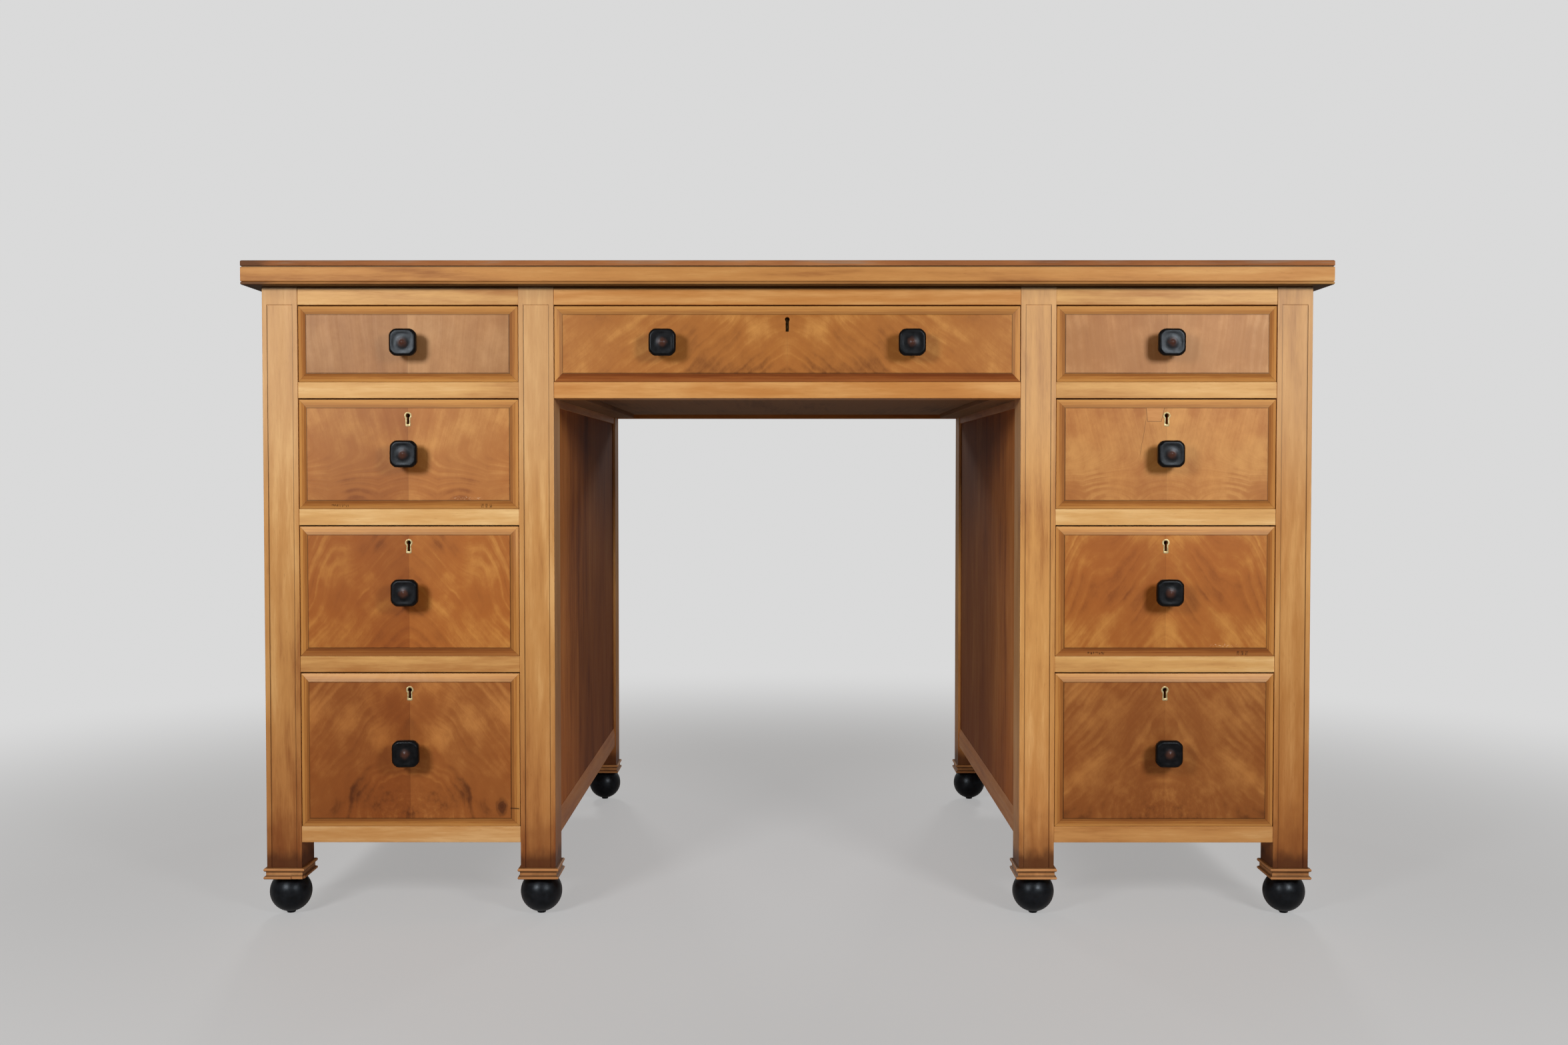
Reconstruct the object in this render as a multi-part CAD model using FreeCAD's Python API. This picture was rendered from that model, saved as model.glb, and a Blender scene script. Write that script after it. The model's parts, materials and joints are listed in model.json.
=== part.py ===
import FreeCAD, Part

import math
import os

# A walnut kneehole desk: two pedestals of four drawers, one wide drawer between them, a moulded top,
# square legs with sunk faces, moulded collars and ball feet.
# The origin is on the floor under the middle of the top. +X is the sitter's right, the drawers face -Y
# and +Z is up. Every length is in millimetres.

# Whole desk
desk_height = 775.0
top_length = 1272.0
top_depth = 780.0
top_thickness = 28.5
top_overhang = 19.0
kneehole_width = 549.2

# Edge of the writing top
lip_height = 6.5
lip_round = 1.8
fascia_setback = 2.0
lipping_width = 20.0
bead_radius = 2.0
quirk_size = 1.2

# Legs
leg_width = 41.3
leg_depth = 51.0
leg_strip_width = 5.5
leg_field_sink = 1.2

# Collars at the leg ends, and ball feet under them
foot_height = 45.9
ball_diameter = 50.8
pip_diameter = 10.0
pip_height = 2.5
collar_height = 13.5
collar_reach = 3.5
collar_band_reach = 1.0
collar_bead_arris = 1.3
upper_bead_height = 5.5
lower_bead_height = 3.8

# Drawer openings from the top down, and the rails between them
frieze_rail_height = 21.3
opening_1_height = 90.5
opening_2_height = 130.5
opening_3_height = 155.0
opening_4_height = 183.5
rail_thickness = 19.0
rail_sink = 1.0
tenon_length = 12.0
tenon_setback = 12.0
tenon_thickness_share = 0.5

# Framed panels at the pedestal sides and the back
frame_rail_thickness = 22.0
frame_rail_sink = 1.5
panel_thickness = 8.0
panel_sink = 4.0
groove_depth = 8.0
rail_bevel_height = 8.0
bevel_lip = 0.6
side_bottom_rail_height = 28.0
side_top_rail_height = 140.0
back_rail_height = 50.0
centre_back_rail_height = 32.0

# Runners, guides, kickers, stops and the dust board
runner_bearing = 15.0
guide_height = 15.0
centre_runner_width = 30.0
dust_board_thickness = 5.0
dust_board_sink = 6.0
dust_board_groove = 6.0
stop_width = 30.0
stop_depth = 18.0
stop_height = 5.5
stop_place_share = 0.25

# Drawers
front_thickness = 20.0
field_proud = 2.0
border_width = 9.5
border_slope_depth = 2.7
field_step = 0.8
field_ledge = 0.6
drawer_back_room = 70.5
lining_thickness = 9.5
lining_drop = 3.0
back_drop = 5.0
bottom_thickness = 6.0
bottom_height = 8.0
bottom_groove = 4.5
back_setback = 10.0

# Dovetails
dovetail_lap = 7.0
dovetail_pitch = 65.0
tail_share = 0.62
tail_slope_share = 0.14

# Knobs
knob_width = 31.5
knob_corner_clip = 5.2
knob_head_thickness = 8.0
knob_bevel = 1.4
knob_projection = 28.0
knob_base_half = 9.5
knob_waist_half = 6.5
knob_neck_half = 8.5
knob_waist_share = 0.45
boss_half = 6.8
boss_top_half = 4.2
boss_height = 2.0
octagon_clip_share = 0.586
centre_knob_spacing = 290.0

# Locks and keyholes
lock_width = 38.0
lock_thickness = 9.0
lock_height = 36.0
lock_wall = 1.2
selvedge_length = 52.0
selvedge_depth = 12.0
selvedge_thickness = 2.2
bolt_width = 18.0
bolt_thickness = 5.0
bolt_head_height = 8.0
bolt_flange_height = 3.0
bolt_flange_reach = 4.0
bolt_travel = 5.0
keyhole_drop = 19.0
key_head_radius = 2.6
key_slot_half_width = 1.5
key_slot_drop = 10.2
bare_keyhole_drop = 15.7
bare_head_radius = 2.8
bare_slot_half_width = 1.9
bare_slot_drop = 14.4

# Glued blocks that hold the top to the pedestal sides
block_length = 60.0
block_width = 20.0
block_place_share = 0.3

# Clearances
glue_gap = 0.05
joint_slack = 0.5
running_gap = 0.3
front_side_gap = 0.8
front_top_gap = 1.6
bolt_gap = 0.3
cut_overrun = 1.0

# Levels and places worked out from the sizes above
top_underside = desk_height - top_thickness
leg_bottom = foot_height + collar_height
frame_length = top_length - 2 * top_overhang
frame_depth = top_depth - 2 * top_overhang
pedestal_width = (frame_length - kneehole_width) / 2
pedestal_centre = (kneehole_width + pedestal_width) / 2
opening_width = pedestal_width - 2 * leg_width
front_face = -frame_depth / 2
back_face = frame_depth / 2
bay_front = front_face + leg_depth
bay_back = back_face - leg_depth
frieze_bottom = top_underside - frieze_rail_height
rail_face = front_face + rail_sink
field_face = front_face - field_proud
front_back_face = field_face + front_thickness
opening_heights = [opening_1_height, opening_2_height, opening_3_height, opening_4_height]
tray_rows = len(opening_heights)


def opening_floor(row):
    """Level of the rail top under the drawer in this row, counted from 0 at the top."""
    return frieze_bottom - sum(opening_heights[: row + 1]) - row * rail_thickness


pedestal_bottom = opening_floor(tray_rows - 1) - rail_thickness
centre_bottom = opening_floor(0) - rail_thickness
side_top_rail_bottom = top_underside - side_top_rail_height
side_bottom_rail_top = pedestal_bottom + side_bottom_rail_height
frame_rail_inner = pedestal_width / 2 - frame_rail_sink - frame_rail_thickness
panel_inner = pedestal_width / 2 - panel_sink - panel_thickness
back_rail_inner = back_face - frame_rail_sink - frame_rail_thickness
lock_front = front_back_face - lock_thickness
bolt_middle = front_back_face - lock_thickness / 2

nodes = {}


def add(name, *shapes):
    """Put solids into a node."""
    nodes.setdefault(name, []).extend(shapes)


def block(x0, x1, y0, y1, z0, z1):
    """A box between two corners, whichever way round they are given."""
    corner = FreeCAD.Vector(min(x0, x1), min(y0, y1), min(z0, z1))
    return Part.makeBox(abs(x1 - x0), abs(y1 - y0), abs(z1 - z0), corner)


def ring(points):
    """A closed outline through points."""
    return Part.makePolygon(points + points[:1])


def extruded(edges, along):
    """A solid pushed along a vector from a closed outline of edges."""
    return Part.Face(Part.Wire(edges)).extrude(along)


def tapered(outlines):
    """A solid with flat faces through outlines that have as many corners and parallel sides."""
    faces = [Part.Face(ring(outlines[0])), Part.Face(ring(outlines[-1]))]
    for near, far in zip(outlines, outlines[1:]):
        for i in range(len(near)):
            faces.append(Part.Face(ring([near[i - 1], near[i], far[i], far[i - 1]])))
    solid = Part.Solid(Part.Shell(faces))
    solid.fix(0, 0, 0)
    return solid


def line(start, end):
    """A straight edge."""
    return Part.LineSegment(start, end).toShape()


def arc(start, middle, end):
    """A round edge through three points."""
    return Part.Arc(start, middle, end).toShape()


def moved(shape, x, y, z):
    """A copy shifted from where it was drawn."""
    copy = shape.copy()
    copy.translate(FreeCAD.Vector(x, y, z))
    return copy


def turned(shape, degrees):
    """A copy turned about the vertical line through the origin."""
    copy = shape.copy()
    copy.rotate(FreeCAD.Vector(), FreeCAD.Vector(0, 0, 1), degrees)
    return copy


# Writing top


def writing_top():
    """The board: a full-size lip over a core that is set back behind the mouldings."""
    half_length = top_length / 2
    half_depth = top_depth / 2
    lip_bottom = desk_height - lip_height
    lip = block(-half_length, half_length, -half_depth, half_depth, lip_bottom, desk_height)
    upper = [e for e in lip.Edges if e.BoundBox.ZMin > desk_height - lip_height / 2]
    lip = lip.makeFillet(min(lip_round, lip_height / 2), upper)
    inset = fascia_setback + lipping_width
    core = block(inset - half_length, half_length - inset, inset - half_depth, half_depth - inset,
                 top_underside, desk_height - lip_height / 2)
    return lip.fuse(core).removeSplitter()


def moulding_strip(length, reach):
    """One edge strip along X, its fascia facing -Y, with a bead below and a quirk above.

    length is the full length of the top along the strip, and reach the distance from the middle of the
    top to its lip. The ends are mitred by a wedge whose sides run at 45 degrees.
    """
    low = top_underside
    high = desk_height - lip_height
    fascia = fascia_setback - reach
    inner = fascia + lipping_width
    quirk = fascia + quirk_size

    def at(y, z):
        return FreeCAD.Vector(-length / 2, y, z)

    outline = [
        line(at(inner, low), at(inner, high)),
        line(at(inner, high), at(quirk, high)),
        line(at(quirk, high), at(quirk, high - quirk_size)),
        line(at(quirk, high - quirk_size), at(fascia, high - quirk_size)),
        line(at(fascia, high - quirk_size), at(fascia, low + 2 * bead_radius)),
        arc(at(fascia, low + 2 * bead_radius), at(fascia - bead_radius, low + bead_radius), at(fascia, low)),
        line(at(fascia, low), at(inner, low)),
    ]
    strip = extruded(outline, FreeCAD.Vector(length, 0, 0))
    tip = length / 2 - glue_gap
    shift = reach + inner
    wedge = Part.Face(ring([
        FreeCAD.Vector(-tip, -reach, low),
        FreeCAD.Vector(tip, -reach, low),
        FreeCAD.Vector(tip - shift, inner, low),
        FreeCAD.Vector(shift - tip, inner, low),
    ])).extrude(FreeCAD.Vector(0, 0, high - low))
    return strip.common(wedge)


def top_edge_moulding():
    """Four mitred strips round the core of the top."""
    strips = []
    for quarter in range(4):
        lengthways = quarter % 2 == 0
        length = top_length if lengthways else top_depth
        reach = (top_depth if lengthways else top_length) / 2
        strips.append(turned(moulding_strip(length, reach), 90 * quarter))
    return strips


# Legs, collars and feet


def leg_blank(x, y):
    """A plain leg whose middle stands at x, y."""
    return block(x - leg_width / 2, x + leg_width / 2, y - leg_depth / 2, y + leg_depth / 2,
                 leg_bottom, top_underside)


def side_groove(side_x, side, y0, y1):
    """The groove that takes a pedestal side's rails and panel, cut along a leg."""
    face = side_x + side * pedestal_width / 2
    outer = face - side * (panel_sink - glue_gap)
    inner = face - side * (panel_sink + panel_thickness + glue_gap)
    return block(outer, inner, y0, y1, pedestal_bottom - glue_gap, top_underside + cut_overrun)


def back_groove(x0, x1, low):
    """The groove that takes a back frame, cut along a rear leg."""
    near = back_face - panel_sink - panel_thickness - glue_gap
    return block(x0, x1, near, back_face - panel_sink + glue_gap, low - glue_gap, top_underside + cut_overrun)


def rail_tenon(face_x, side, low, height, gap):
    """A tenon that stands out to one side of face_x, or with a gap the mortise for it."""
    thickness = height * tenon_thickness_share
    middle = low + height / 2
    return block(face_x, face_x + side * (tenon_length - joint_slack + 2 * gap),
                 rail_face + tenon_setback - gap, bay_front - tenon_setback + gap,
                 middle - thickness / 2 - gap, middle + thickness / 2 + gap)


def front_leg(side_x, side):
    """A front leg with its sunk field, panel groove and mortises."""
    x = side_x + side * (pedestal_width - leg_width) / 2
    leg = leg_blank(x, front_face + leg_depth / 2)
    half_field = leg_width / 2 - leg_strip_width
    cuts = [block(x - half_field, x + half_field, front_face - cut_overrun, front_face + leg_field_sink,
                  leg_bottom - cut_overrun, frieze_bottom)]
    cuts.append(side_groove(side_x, side, bay_front - groove_depth, bay_front + cut_overrun))
    inner_face = side_x + side * opening_width / 2
    levels = [(frieze_bottom, frieze_rail_height)]
    levels += [(opening_floor(row) - rail_thickness, rail_thickness) for row in range(tray_rows)]
    for low, height in levels:
        cuts.append(rail_tenon(inner_face, side, low, height, glue_gap))
    if side * side_x < 0:
        knee_face = side_x + side * pedestal_width / 2
        for low, height in levels[:2]:
            cuts.append(rail_tenon(knee_face, -side, low, height, glue_gap))
    return leg.cut(cuts)


def rear_leg(side_x, side):
    """A rear leg with grooves for the pedestal side and for the back."""
    x = side_x + side * (pedestal_width - leg_width) / 2
    leg = leg_blank(x, back_face - leg_depth / 2)
    cuts = [side_groove(side_x, side, bay_back - cut_overrun, bay_back + groove_depth)]
    inner_face = side_x + side * opening_width / 2
    mouth = side * cut_overrun
    deep = side * groove_depth
    cuts.append(back_groove(inner_face - mouth, inner_face + deep, pedestal_bottom))
    if side * side_x < 0:
        knee_face = side_x + side * pedestal_width / 2
        cuts.append(back_groove(knee_face + mouth, knee_face - deep, centre_bottom))
    return leg.cut(cuts)


def collar_slab(half_width, half_run, along_x):
    """The collar's moulded outline on two sides, pushed straight through along the other axis."""
    band = half_width + collar_band_reach
    tip = half_width + collar_reach
    flat = tip - collar_bead_arris
    lower_top = foot_height + lower_bead_height
    upper_bottom = leg_bottom - upper_bead_height
    half_outline = [
        (flat, foot_height), (tip, foot_height + collar_bead_arris),
        (tip, lower_top - collar_bead_arris), (flat, lower_top), (band, lower_top),
        (band, upper_bottom), (flat, upper_bottom), (tip, upper_bottom + collar_bead_arris),
        (tip, leg_bottom - collar_bead_arris), (flat, leg_bottom),
    ]
    outline = half_outline + [(-offset, z) for offset, z in reversed(half_outline)]
    if along_x:
        points = [FreeCAD.Vector(-half_run, offset, z) for offset, z in outline]
        along = FreeCAD.Vector(2 * half_run, 0, 0)
    else:
        points = [FreeCAD.Vector(offset, -half_run, z) for offset, z in outline]
        along = FreeCAD.Vector(0, 2 * half_run, 0)
    return Part.Face(ring(points)).extrude(along)


def leg_collar():
    """A block with a bead, a sunk band and a bead on all four sides, mitred at its corners."""
    over = collar_reach + cut_overrun
    across = collar_slab(leg_width / 2, leg_depth / 2 + over, False)
    lengthways = collar_slab(leg_depth / 2, leg_width / 2 + over, True)
    return across.common(lengthways).removeSplitter()


def ball_foot():
    """A ball flattened where it meets the collar, on a small turned pip."""
    radius = ball_diameter / 2
    pip_radius = pip_diameter / 2
    middle = pip_height + radius
    pip_top = middle - math.sqrt(radius ** 2 - pip_radius ** 2)
    seat_radius = math.sqrt(radius ** 2 - (foot_height - middle) ** 2)

    def at(x, z):
        return FreeCAD.Vector(x, 0, z)

    outline = [
        line(at(0, 0), at(pip_radius, 0)),
        line(at(pip_radius, 0), at(pip_radius, pip_top)),
        arc(at(pip_radius, pip_top), at(radius, middle), at(seat_radius, foot_height)),
        line(at(seat_radius, foot_height), at(0, foot_height)),
        line(at(0, foot_height), at(0, 0)),
    ]
    return Part.Face(Part.Wire(outline)).revolve(FreeCAD.Vector(), FreeCAD.Vector(0, 0, 1), 360)


# Framed panels


def frame_rail(length, low, high, groove_at_top):
    """A rail along X with its show face towards -Y, a groove for the panel and a tongue at each end."""
    face = frame_rail_sink
    inner = frame_rail_sink + frame_rail_thickness
    near = panel_sink - glue_gap
    far = panel_sink + panel_thickness + glue_gap
    if groove_at_top:
        edge, deep, foot = high, high - groove_depth, low
        bevel = [(face, edge - rail_bevel_height), (near - bevel_lip, edge), (near, edge)]
        tongue_low, tongue_high = low, deep - joint_slack
    else:
        edge, deep, foot = low, low + groove_depth, high
        bevel = [(face, edge), (near, edge)]
        tongue_low, tongue_high = deep + joint_slack, high
    section = [(face, foot)] + bevel + [(near, deep), (far, deep), (far, edge), (inner, edge), (inner, foot)]
    rail = Part.Face(ring([FreeCAD.Vector(-length / 2, y, z) for y, z in section]))
    rail = rail.extrude(FreeCAD.Vector(length, 0, 0))
    reach = length / 2 + groove_depth - joint_slack
    return rail.fuse(block(-reach, reach, panel_sink, panel_sink + panel_thickness, tongue_low, tongue_high))


def framed_panel(length, low, high, bottom_rail, top_rail):
    """The rails and the panel of one frame, drawn along X with the show face towards -Y at y = 0."""
    rails = [
        frame_rail(length, low, low + bottom_rail, True),
        frame_rail(length, high - top_rail, high, False),
    ]
    hold = groove_depth - joint_slack
    panel = block(-length / 2 - hold, length / 2 + hold, panel_sink, panel_sink + panel_thickness,
                  low + bottom_rail - hold, high - top_rail + hold)
    return rails, panel


def pedestal_side(side_x, side):
    """The framed side of a pedestal, its show face outwards."""
    length = bay_back - bay_front
    rails, panel = framed_panel(length, pedestal_bottom, top_underside, side_bottom_rail_height,
                                side_top_rail_height)
    face = side_x + side * pedestal_width / 2
    return [moved(turned(piece, 90 * side), face, 0, 0) for piece in rails + [panel]]


def back_frame(x, width, low, rail_height):
    """A framed panel between two rear legs, its show face to the back."""
    rails, panel = framed_panel(width, low, top_underside, rail_height, rail_height)
    return [moved(turned(piece, 180), x, back_face, 0) for piece in rails + [panel]]


# Front rails


def front_rail(x, width, low, height, bolt_x=None):
    """A rail between two front legs with a tenon at each end, and a mortise for a lock bolt below."""
    rail = block(x - width / 2, x + width / 2, rail_face, bay_front, low, low + height)
    for side in (-1, 1):
        rail = rail.fuse(rail_tenon(x + side * width / 2, side, low, height, 0))
    if bolt_x is None:
        return rail
    half = bolt_width / 2 + bolt_gap
    reach = bolt_thickness / 2 + bolt_gap
    return rail.cut(block(bolt_x - half, bolt_x + half, bolt_middle - reach, bolt_middle + reach,
                          low - cut_overrun, low + bolt_travel))


# Runners, guides, kickers, stops and the dust board


def side_inside(low, high):
    """How far out a strip at this level reaches before it meets the pedestal's side."""
    beside_rail = low < side_bottom_rail_top or high > side_top_rail_bottom
    return frame_rail_inner if beside_rail else panel_inner


def pedestal_strip(side_x, side, near, low, high):
    """A strip along the bay, from near the middle out to the pedestal's side."""
    return block(side_x + side * near, side_x + side * side_inside(low, high), bay_front, bay_back, low, high)


def centre_strip(side, width, low, high):
    """A strip along the bay at one side of the kneehole, fixed to the pedestal."""
    edge = kneehole_width / 2
    return block(side * (edge - width), side * (edge + frame_rail_sink), bay_front, bay_back, low, high)


def centre_runner(side):
    """A runner under the centre drawer, with a groove for the dust board."""
    runner = centre_strip(side, centre_runner_width, centre_bottom, opening_floor(0))
    edge = kneehole_width / 2 - centre_runner_width
    low = centre_bottom + dust_board_sink - glue_gap
    return runner.cut(block(side * (edge - cut_overrun), side * (edge + dust_board_groove),
                            bay_front - cut_overrun, bay_back + cut_overrun,
                            low, low + dust_board_thickness + 2 * glue_gap))


def dust_board():
    """The thin board under the centre drawer, which is the ceiling of the kneehole."""
    half = kneehole_width / 2 - centre_runner_width + dust_board_groove - joint_slack
    low = centre_bottom + dust_board_sink
    return block(-half, half, bay_front, back_rail_inner, low, low + dust_board_thickness)


def drawer_stop(x, floor):
    """A small block on a rail, just behind the closed drawer front."""
    near = front_back_face + running_gap
    return block(x - stop_width / 2, x + stop_width / 2, near, near + stop_depth, floor, floor + stop_height)


def top_block(side_x, side, y):
    """A three-cornered block glued into the corner between a kicker's inner face and the top."""
    face = side_x + side * (opening_width / 2 - runner_bearing)
    tip = face - side * block_width
    corners = [(face, top_underside), (tip, top_underside), (face, top_underside - block_width)]
    prism = Part.Face(ring([FreeCAD.Vector(x, y - block_length / 2, z) for x, z in corners]))
    return prism.extrude(FreeCAD.Vector(0, block_length, 0))


# Drawers


def tails(shoulder, end, low, high):
    """Corners of each dovetail between two levels, as y and z, narrow at the shoulder and wide at the end."""
    count = max(2, round((high - low) / dovetail_pitch))
    pitch = (high - low) / count
    wide = pitch * tail_share / 2
    narrow = wide - (shoulder - end) * tail_slope_share
    corners = []
    for i in range(count):
        middle = low + (i + 0.5) * pitch
        corners.append([(shoulder, middle - narrow), (end, middle - wide),
                        (end, middle + wide), (shoulder, middle + narrow)])
    return corners


def tail_sockets(x0, x1, corner_sets):
    """Prisms a glue gap larger than the tails, to cut from the piece that they enter."""
    sockets = []
    for (shoulder, z0), (end, z1), (_, z2), (_, z3) in corner_sets:
        tip = end - glue_gap
        root = shoulder + glue_gap
        points = [(root, z0 - glue_gap), (tip, z1 - glue_gap), (tip, z2 + glue_gap), (root, z3 + glue_gap)]
        face = Part.Face(ring([FreeCAD.Vector(x0, y, z) for y, z in points]))
        sockets.append(face.extrude(FreeCAD.Vector(x1 - x0, 0, 0)))
    return sockets


def keyhole(x, z, y0, y1, head, half_slot, drop):
    """A prism of keyhole outline: a round head over a straight slot, from y0 to y1."""
    join = z - math.sqrt(head ** 2 - half_slot ** 2)

    def at(offset, level):
        return FreeCAD.Vector(x + offset, y0, level)

    outline = [
        arc(at(half_slot, join), at(0, z + head), at(-half_slot, join)),
        line(at(-half_slot, join), at(-half_slot, z - drop)),
        line(at(-half_slot, z - drop), at(half_slot, z - drop)),
        line(at(half_slot, z - drop), at(half_slot, join)),
    ]
    return extruded(outline, FreeCAD.Vector(0, y1 - y0, 0))


class Drawer:
    """One drawer, from the opening that it closes."""

    def __init__(self, name, x, width, row, lock, knob_places):
        self.name = name
        self.x = x
        self.half = width / 2 - front_side_gap
        self.low = opening_floor(row) + running_gap
        self.high = opening_floor(row) + opening_heights[row] - front_top_gap
        self.lock = lock
        self.knob_places = knob_places
        self.side_top = self.high - lining_drop
        self.back_end = back_rail_inner - drawer_back_room
        self.back_start = self.back_end - back_setback - lining_thickness
        self.bottom_low = self.low + bottom_height
        self.bottom_high = self.bottom_low + bottom_thickness
        self.tail_end = field_face + dovetail_lap
        self.front_tails = tails(front_back_face, self.tail_end, self.low, self.side_top)
        self.key_level = self.high - (bare_keyhole_drop if lock == "bare" else keyhole_drop)

    def front(self):
        """The front: a raised field inside a sloping border, with sockets, groove, lock bed and keyhole."""
        edge = field_face + field_step + border_slope_depth
        body = block(self.x - self.half, self.x + self.half, edge, front_back_face, self.low, self.high)
        field_inset = border_width + field_ledge
        slope = tapered([self.rectangle(0, edge), self.rectangle(border_width, field_face + field_step)])
        field = block(self.x - self.half + field_inset, self.x + self.half - field_inset, field_face, edge,
                      self.low + field_inset, self.high - field_inset)
        front = body.fuse([slope, field]).removeSplitter()
        return front.cut(self.front_cuts())

    def rectangle(self, inset, y):
        """The front's outline drawn in by inset, in the plane at y."""
        x0, x1 = self.x - self.half + inset, self.x + self.half - inset
        z0, z1 = self.low + inset, self.high - inset
        return [FreeCAD.Vector(x0, y, z0), FreeCAD.Vector(x1, y, z0), FreeCAD.Vector(x1, y, z1),
                FreeCAD.Vector(x0, y, z1)]

    def front_cuts(self):
        """Everything that is cut from the front."""
        cuts = []
        for side in (-1, 1):
            inner = self.x + side * (self.half - lining_thickness - glue_gap)
            outer = self.x + side * (self.half + cut_overrun)
            cuts += tail_sockets(inner, outer, self.front_tails)
        hold = self.half - lining_thickness + bottom_groove
        cuts.append(block(self.x - hold, self.x + hold, front_back_face - bottom_groove,
                          front_back_face + cut_overrun, self.bottom_low - glue_gap,
                          self.bottom_high + glue_gap))
        if self.lock:
            cuts += self.lock_bed()
            cuts.append(self.key_prism())
        return cuts

    def key_prism(self):
        """The keyhole, from in front of the field to the lock."""
        if self.lock == "bare":
            sizes = (bare_head_radius, bare_slot_half_width, bare_slot_drop)
        else:
            sizes = (key_head_radius, key_slot_half_width, key_slot_drop)
        return keyhole(self.x, self.key_level, field_face - cut_overrun, lock_front + cut_overrun, *sizes)

    def lock_bed(self):
        """The pockets that take the lock's case and selvedge."""
        return [
            block(self.x - lock_width / 2 - glue_gap, self.x + lock_width / 2 + glue_gap,
                  lock_front - glue_gap, front_back_face + cut_overrun,
                  self.high - lock_height - glue_gap, self.high + cut_overrun),
            block(self.x - selvedge_length / 2 - glue_gap, self.x + selvedge_length / 2 + glue_gap,
                  front_back_face - selvedge_depth - glue_gap, front_back_face + cut_overrun,
                  self.high - selvedge_thickness - glue_gap, self.high + cut_overrun),
        ]

    def side_board(self, side):
        """A lining side, dovetailed into the front, grooved for the bottom and housed for the back."""
        points = [(front_back_face, self.low)]
        for tail in self.front_tails:
            points += tail
        points += [(front_back_face, self.side_top), (self.back_end, self.side_top),
                   (self.back_end, self.low)]
        outer = self.x + side * self.half
        inner = outer - side * lining_thickness
        board = Part.Face(ring([FreeCAD.Vector(min(outer, inner), y, z) for y, z in points]))
        board = board.extrude(FreeCAD.Vector(lining_thickness, 0, 0))
        groove = block(inner - side * cut_overrun, inner + side * bottom_groove,
                       self.tail_end - cut_overrun, self.back_end + cut_overrun,
                       self.bottom_low - glue_gap, self.bottom_high + glue_gap)
        housing = block(inner - side * cut_overrun, inner + side * bottom_groove,
                        self.back_start - glue_gap, self.back_start + lining_thickness + glue_gap,
                        self.bottom_high, self.side_top + cut_overrun)
        return board.cut([groove, housing])

    def back_board(self):
        """The back, housed in the sides and standing on the bottom."""
        half = self.half - lining_thickness + bottom_groove - glue_gap
        return block(self.x - half, self.x + half, self.back_start, self.back_start + lining_thickness,
                     self.bottom_high, self.side_top - back_drop)

    def bottom_board(self):
        """The bottom, held in grooves in the sides and the front, and running out under the back."""
        half = self.half - lining_thickness + bottom_groove - joint_slack
        near = front_back_face - bottom_groove + joint_slack
        return block(self.x - half, self.x + half, near, self.back_end, self.bottom_low, self.bottom_high)

    def lock_case(self):
        """The lock's case and selvedge, hollow, with a slot for the bolt and a window for the key."""
        half = lock_width / 2
        case = block(self.x - half, self.x + half, lock_front, front_back_face,
                     self.high - lock_height, self.high)
        plate = block(self.x - selvedge_length / 2, self.x + selvedge_length / 2,
                      front_back_face - selvedge_depth, front_back_face,
                      self.high - selvedge_thickness, self.high)
        room = block(self.x - half + lock_wall, self.x + half - lock_wall, lock_front + lock_wall,
                     front_back_face - lock_wall, self.high - lock_height + lock_wall,
                     self.high - selvedge_thickness)
        reach = bolt_thickness / 2 + bolt_gap
        slot = block(self.x - bolt_width / 2 - bolt_gap, self.x + bolt_width / 2 + bolt_gap,
                     bolt_middle - reach, bolt_middle + reach,
                     self.high - selvedge_thickness - cut_overrun, self.high + cut_overrun)
        window = self.key_window()
        return case.fuse(plate).cut([room, slot, window])

    def key_window(self):
        """The straight opening in the case behind the keyhole."""
        head = bare_head_radius if self.lock == "bare" else key_head_radius
        drop = bare_slot_drop if self.lock == "bare" else key_slot_drop
        return block(self.x - head, self.x + head, lock_front - cut_overrun, lock_front + lock_wall,
                     self.key_level - drop, self.key_level + head)

    def bolt(self):
        """The lock's bolt: a head that rises through the selvedge, and a wider foot that stays inside."""
        near = bolt_middle - bolt_thickness / 2
        far = bolt_middle + bolt_thickness / 2
        foot_top = self.high - bolt_head_height
        half = bolt_width / 2
        wide = half + bolt_flange_reach
        return block(self.x - half, self.x + half, near, far, foot_top, self.high).fuse(
            block(self.x - wide, self.x + wide, near, far, foot_top - bolt_flange_height, foot_top)
        ).removeSplitter()

    def knobs(self):
        """The knobs at their places on the field."""
        middle = (self.low + self.high) / 2
        return [moved(knob(), self.x + place, field_face, middle) for place in self.knob_places]


def clipped_square(half, clip, y):
    """The corners of a square with its own corners cut off, in the plane at y."""
    near = half - clip
    offsets = [(half, -near), (half, near), (near, half), (-near, half),
               (-half, near), (-half, -near), (-near, -half), (near, -half)]
    return [FreeCAD.Vector(x, y, z) for x, z in offsets]


def octagon(half, y):
    """The corners of an even octagon, in the plane at y."""
    return clipped_square(half, half * octagon_clip_share, y)


def knob():
    """A square knob with clipped corners on a waisted neck, drawn along -Y from the origin."""
    half = knob_width / 2
    back = knob_head_thickness - knob_projection
    face = -knob_projection
    neck = tapered([
        octagon(knob_base_half, 0),
        octagon(knob_waist_half, back * knob_waist_share),
        octagon(knob_neck_half, back),
    ])
    head = tapered([
        clipped_square(half, knob_corner_clip, back),
        clipped_square(half, knob_corner_clip, face + knob_bevel),
        clipped_square(half - knob_bevel, knob_corner_clip, face),
    ])
    boss = tapered([octagon(boss_half, face), octagon(boss_top_half, face - boss_height)])
    return neck.fuse([head, boss]).removeSplitter()


# Carcass

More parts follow.
